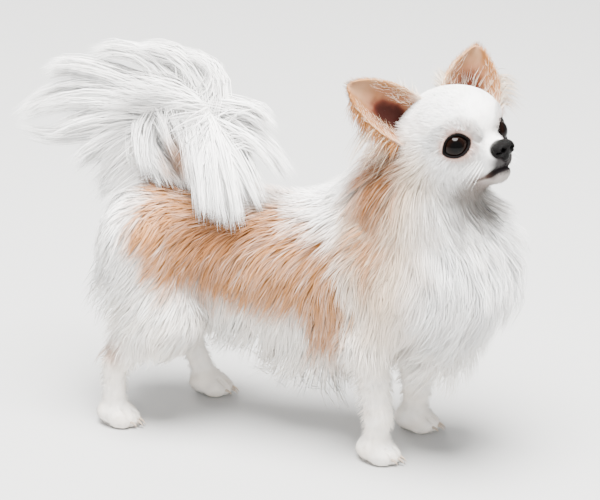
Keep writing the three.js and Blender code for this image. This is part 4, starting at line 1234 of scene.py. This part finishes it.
# legs and feet
leg_zone = (hind * (1 - thigh_part) + fore * (1 - shoulder_part)) * (tz > 1.5) * (1 + 1.2 * (tz < 24))
leg_len = lambda p, n, d: (3.6 + 0.95 * np.clip(d, 0, 30)) * (0.55 + 0.45 * soft(p[:, 2], 14, 40)) + 3 * soft(p[:, 2], 60, 90)
leg_w = lambda p, n, d: 0.42 + 0.35 * soft(p[:, 2], 16, 60)
g = body_tufts(leg_zone, 7900, leg_len, 0.95, 3, leg_w, 0.32, 0.08, 0.25, 12, 0.35, 7, 0.9)
coat_piece("coat_legs", [g])

# ears: short hair on the back, soft down inside, a fringe on the rim, wisps at the base
PALE = mix(CREAM[None], GREY[None], np.array([0.25]))[0]
SAND = mix(CREAM[None], FAWN[None], np.array([0.3]))[0]
ear_groups = []
for s in "rl":
    b, ax, nn, wide, L, half = ear_frame(s)
    axw, nnw, widew = RH @ ax, RH @ nn, RH @ wide
    back_sign = 1.0 if (RH @ wide)[2] < 0 else -1.0  # which side of the leaf is its lower one
    h, x, y, _, _ = ear_coordinates(tri_mid, s)
    hw = np.maximum(ear_half(h, half), 1)
    here = tri_region == "ear_" + s
    side = np.abs(x) / hw
    back = here & (tri_n @ nnw < -0.1)
    rim = here & (side > 0.8) & (h > 0.05)
    inside = here & (tri_n @ nnw > 0.15)

    def ear_hair(where, count, length, width, direction, steps, droop, splay, colour=None, lit=0.9):
        p, n, reg = scatter(where * 1.0, count)
        h, x, y, _, _ = ear_coordinates(p, s)
        d = unit(direction(p, n, h, x) + n * 0.02)
        d = unit(d + splay * rng.normal(size=d.shape))
        ln = length * rng.uniform(0.55, 1.2, count)
        t = np.linspace(0, 1, steps + 1)
        path = (p - n * 0.4)[:, None] + (d[:, None] * t[None, :, None] + V(0, 0, -1) * droop * t[None, :, None] ** 2) * ln[:, None, None]
        c = ear_marks_and_painted_shade(p, s) if colour is None else np.repeat(colour[None], count, 0)
        c = c * (1 + 0.06 * rng.normal(size=(count, 1)))
        return tufts(path, unit(n + 0.3 * rng.normal(size=n.shape)), np.full(count, width) * rng.uniform(0.7, 1.2, count), 0.3, c, uv_of(p, reg), lit)

    sgn = lambda x: np.tanh(x / 6)[:, None]
    ear_groups.append(ear_hair(back, 1700, 4.5, 0.46, lambda p, n, h, x: axw + widew * (0.1 * sgn(x)) + n * 0.05, 2, 0.0, 0.07))
    ear_groups.append(ear_hair(rim, 900, 2.4, 0.32, lambda p, n, h, x: axw * 0.9 + widew * (0.28 * sgn(x)) + n * 0.1, 2, 0.0, 0.1))
    ear_groups.append(ear_hair(inside & (h > 0.3), 850, 4.5, 0.3, lambda p, n, h, x: axw + n * 0.14, 2, 0.0, 0.14, None, 1.12))
    ear_groups.append(ear_hair(inside & (h < 0.75) & (side > 0.5), 420, 8, 0.25, lambda p, n, h, x: axw * 0.9 + nnw * 0.3 - widew * (0.25 * sgn(x)), 3, 0.0, 0.16, SAND, 1.0))
    low = rim & (x * back_sign > 0)
    fall = 560 if s == "r" else 200
    ear_groups.append(ear_hair(low & (h < 0.9), fall, 10.5, 0.5, lambda p, n, h, x: V(0, 0, -0.8) + axw * 0.25 + widew * back_sign * 0.3, 3, 0.25, 0.12, mix(FAWN[None], TAN[None], np.array([0.5]))[0], 1.0))
    ear_groups.append(ear_hair(low & (h < 0.55), 170, 21, 0.4, lambda p, n, h, x: axw * 0.4 + widew * back_sign * 0.8 - nnw * 0.3, 4, 0.6, 0.17, SAND, 1.0))
    high = rim & (h < 0.4) & (x * back_sign < 0)
    ear_groups.append(ear_hair(high, 130 if s == "l" else 40, 11, 0.36, lambda p, n, h, x: axw * 0.7 - widew * back_sign * 0.8 - nnw * 0.2, 3, 0.1, 0.16, PALE, 1.0))
    fan = inside & (h < 0.3)
    ear_groups.append(ear_hair(fan & ((s == "l") | (x * back_sign < -hw * 0.45)), 300 if s == "l" else 50, 15 if s == "l" else 10, 0.42, lambda p, n, h, x: axw + widew * (0.45 * sgn(x)) + nnw * 0.35, 3, 0.0, 0.12, PALE, 1.0))
coat_piece("coat_ears", ear_groups)

# tail: hairs leave the dock and stream along the bundles below, from, bends and end in design millimetres, spread at each
D = dock_points(25)
BUNDLES = [  # dock from, to, bend 1, bend 2, end, spread at bends and end, count, width
    (0.42, 0.62, (-110, -4, 250), (-160, -3, 262), (-182, 1, 246), (12, 10, 7), 330, 0.8),
    (0.38, 0.58, (-112, -4, 246), (-168, -3, 250), (-206, 0, 210), (13, 10, 6), 330, 0.75),
    (0.34, 0.52, (-116, -5, 234), (-160, -5, 238), (-203, -2, 214), (12, 11, 8), 330, 0.75),
    (0.30, 0.48, (-120, -6, 222), (-158, -6, 196), (-203, -4, 204), (11, 10, 6), 330, 0.75),
    (0.30, 0.50, (-116, -5, 226), (-146, -6, 222), (-176, -6, 204), (13, 13, 12), 420, 0.9),
    (0.22, 0.42, (-120, -6, 212), (-140, -8, 206), (-158, -9, 184), (12, 12, 10), 360, 0.9),
    (0.12, 0.32, (-120, -4, 200), (-132, -8, 190), (-139, -10, 162), (11, 10, 8), 330, 0.9),
    (0.46, 0.70, (-84, -6, 268), (-120, -4, 276), (-148, 2, 262), (11, 10, 8), 360, 0.8),
    (0.55, 0.80, (-56, -8, 268), (-84, -8, 282), (-118, -2, 268), (11, 9, 8), 360, 0.75),
    (0.62, 0.88, (-38, -10, 258), (-50, -10, 276), (-82, -6, 272), (10, 8, 8), 300, 0.75),
    (0.60, 0.90, (-40, -12, 240), (-20, -12, 246), (-8, -8, 226), (11, 10, 9), 260, 0.8),
    (0.70, 1.00, (-30, -16, 228), (-14, -14, 224), (3, -12, 196), (11, 10, 8), 300, 0.85),
    (0.72, 1.00, (-30, -20, 214), (-22, -24, 196), (-14, -22, 176), (11, 10, 9), 330, 0.9),
    (0.66, 1.00, (-42, -24, 214), (-34, -34, 190), (-30, -34, 166), (13, 13, 11), 560, 0.95),
    (0.60, 0.95, (-54, -22, 216), (-50, -32, 190), (-46, -34, 168), (13, 13, 11), 560, 0.95),
    (0.50, 0.80, (-62, -16, 226), (-62, -26, 206), (-56, -26, 184), (14, 13, 11), 420, 1.0),
    (0.40, 0.70, (-84, -10, 238), (-80, -20, 222), (-68, -20, 200), (14, 14, 12), 420, 1.1),
    (0.25, 0.55, (-104, -10, 228), (-108, -16, 208), (-98, -16, 186), (14, 13, 12), 420, 1.1),
    (0.05, 0.25, (-100, -4, 196), (-94, -10, 188), (-88, -12, 176), (11, 10, 9), 260, 1.0),
    (0.10, 0.40, (-98, -6, 206), (-84, -12, 196), (-76, -14, 180), (12, 12, 11), 330, 1.1),
    (0.45, 0.75, (-76, -8, 226), (-74, -12, 204), (-70, -14, 182), (13, 12, 11), 330, 1.1),
    (0.42, 0.80, (-80, 6, 240), (-78, 14, 226), (-72, 16, 206), (14, 13, 12), 360, 1.1),
    (0.60, 1.00, (-44, 2, 226), (-36, 4, 212), (-32, 4, 192), (13, 12, 11), 300, 1.0),
    (0.20, 0.45, (-112, 4, 218), (-120, 10, 204), (-118, 10, 184), (12, 11, 10), 300, 1.0),
]
ROOT_FAWN = V(-77, -26, 200)


def tail_colour(p):
    near = 1 - soft(np.linalg.norm((p - ROOT_FAWN) / V(0.85, 2.4, 1.1), axis=1), 7, 20)
    return mix(np.repeat(WHITE[None], len(p), 0), mix(FAWN[None], TAN[None], np.array([0.4])), np.clip(near * (0.85 + 0.4 * noise(p * V(1, 1, 0.3), 7, 1)), 0, 0.9))


def bezier(a, b, c, d, steps):
    u = np.linspace(0, 1, steps + 1)[None, :, None]
    return a[:, None] * (1 - u) ** 3 + 3 * b[:, None] * u * (1 - u) ** 2 + 3 * c[:, None] * u**2 * (1 - u) + d[:, None] * u**3


tail_groups = []
for bi, (t0, t1, c1, c2, end, spread, count, width) in enumerate(BUNDLES):
    t = rng.uniform(t0, t1, count) * (len(D) - 1)
    i = np.minimum(t.astype(int), len(D) - 2)
    p0 = D[i] + (D[i + 1] - D[i]) * (t - i)[:, None]
    off = unit(rng.normal(size=(count, 3))) * rng.uniform(0, 1, (count, 1)) ** 0.45 * V(1, 0.9, 1)
    locks = max(4, count // 34)
    centre = unit(rng.normal(size=(locks, 3))) * rng.uniform(0.1, 1, (locks, 1)) ** 0.5
    lock = centre[np.argmin(((off[:, None] - centre[None]) ** 2).sum(-1), 1)]
    p0 = p0 + off * 5
    P1 = V(*c1) + off * spread[0]
    P2 = V(*c2) + (off * 0.5 + lock * 0.5) * spread[1]
    P3 = V(*end) + (off * 0.3 + lock * 0.7) * spread[2] + rng.normal(size=(count, 3)) * 1.6
    P3 = P2 + (P3 - P2) * rng.uniform(0.66, 1.1, (count, 1))
    steps = 7 if np.linalg.norm(V(*end) - p0.mean(0)) > 80 else 5
    path = bezier(p0, P1, P2, P3, steps)
    col = tail_colour(path.reshape(-1, 3)).reshape(path.shape) * (1 + 0.03 * rng.normal(size=(count, 1, 1)))
    up = unit(off + 0.3 * rng.normal(size=off.shape))
    tail_groups.append(tufts(path, up, np.full(count, width) * rng.uniform(0.7, 1.2, count), 0.34, col, uv_of(p0, np.full(count, "tail")), 1.0, 1.02, 0.85, unit(off * 0.7 + V(-0.1, -0.3, 0.6) + 0.15 * rng.normal(size=off.shape))))
# hair that covers the dock itself
p, n, reg = scatter(on("tail") * (tz > 168), 2000)
left = soft(-p[:, 0], 42, 60)[:, None]
stem = (soft(-p[:, 0], 88, 100) * soft(-p[:, 2], -232, -214))[:, None]
sweep = V(-0.85, -0.05, 0.30) * (1 - stem) + V(-0.6, -0.1, -0.35) * stem
d = unit(sweep * left + V(0.05, -0.15, -0.9) * (1 - left) + n * 0.28 + 0.05 * rng.normal(size=p.shape))
ln = rng.uniform(22, 38, (len(p), 1))
path = bezier(p - n * 0.6, p + (n * 0.5 + d) * ln * 0.3, p + d * ln * 0.7, p + d * ln + V(0, 0, -1) * ln * 0.2, 4)
tail_groups.append(tufts(path, n, rng.uniform(0.7, 1.3, len(p)), 0.34, tail_colour(path.reshape(-1, 3)).reshape(path.shape), uv_of(p, reg), 1.0, 1.02))
half_way = len(tail_groups) // 2
coat_piece("coat_tail_1", tail_groups[:half_way])
coat_piece("coat_tail_2", tail_groups[half_way:])
print("coat triangles", coat_count)

# ---------------------------------------------------------------- floor, light, camera
fm, ft, fb = material("pale_floor")
fn = node(ft, "ShaderNodeTexNoise")
fn.inputs["Scale"].default_value = 3
fr = node(ft, "ShaderNodeValToRGB")
fr.color_ramp.elements[0].color, fr.color_ramp.elements[1].color = (0.44, 0.44, 0.435, 1), (0.50, 0.50, 0.495, 1)
ft.links.new(fn.outputs["Fac"], fr.inputs["Fac"])
ft.links.new(fr.outputs["Color"], fb.inputs["Base Color"])
fb.inputs["Roughness"].default_value = 0.9
me = bpy.data.meshes.new("floor")
n, depth, r = 24, 2.6, 1.2
prof = [(-3.0, 0.0), (depth - r, 0.0)] + [(depth - r + r * math.sin(a), r - r * math.cos(a)) for a in np.linspace(0, math.pi / 2, n)[1:]] + [(depth, 3.5)]
me.from_pydata([(x, y, z) for y, z in prof for x in (-5.0, 5.0)], [], [(2 * i, 2 * i + 1, 2 * i + 3, 2 * i + 2) for i in range(len(prof) - 1)])
me.polygons.foreach_set("use_smooth", [True] * len(me.polygons))
me.materials.append(fm)
floor = bpy.data.objects.new("floor", me)
bpy.context.scene.collection.objects.link(floor)
az = math.radians(20)
floor.rotation_euler = (0, 0, az)


def area_light(name, at, to, size, power, colour=(1, 1, 1)):
    data = bpy.data.lights.new(name, "AREA")
    data.shape, data.size, data.size_y, data.energy, data.color = "ELLIPSE", size[0], size[1], power, colour
    o = bpy.data.objects.new(name, data)
    o.location = at
    o.rotation_euler = (Vector(to) - Vector(at)).to_track_quat("-Z", "Y").to_euler()
    bpy.context.scene.collection.objects.link(o)
    return o


area_light("sky", (0.15, -0.35, 2.2), (0, 0, 0.12), (1.5, 1.5), 390, (1.0, 0.99, 0.97))
area_light("front_fill", (0.9, -1.9, 0.9), (0, 0, 0.14), (1.6, 1.2), 22, (0.98, 0.99, 1.0)).visible_glossy = False
area_light("back_rim", (-1.2, 1.3, 1.2), (0, 0, 0.16), (1.0, 1.0), 24, (1.0, 0.98, 0.95))
world = bpy.data.worlds.new("world")
world.use_nodes = True
world.node_tree.nodes["Background"].inputs["Color"].default_value = (0.92, 0.94, 0.97, 1)
world.node_tree.nodes["Background"].inputs["Strength"].default_value = 0.85
bpy.context.scene.world = world

AZ, EL, DIST, FOCAL, TARGET = math.radians(20.0), math.radians(21.5), 1700.0, 2431.0, V(8.0, 0.0, 137.3)
back = V(math.sin(AZ) * math.cos(EL), -math.cos(AZ) * math.cos(EL), math.sin(EL))
cam_data = bpy.data.cameras.new("camera")
cam_data.sensor_width, cam_data.lens = 36.0, FOCAL / 600 * 36
cam_data.clip_start, cam_data.clip_end = 0.05, 30
cam = bpy.data.objects.new("camera", cam_data)
cam.location = Vector(to_frame(TARGET + back * DIST))
cam.rotation_euler = Vector(-back).to_track_quat("-Z", "Y").to_euler()
bpy.context.scene.collection.objects.link(cam)
bpy.context.scene.camera = cam
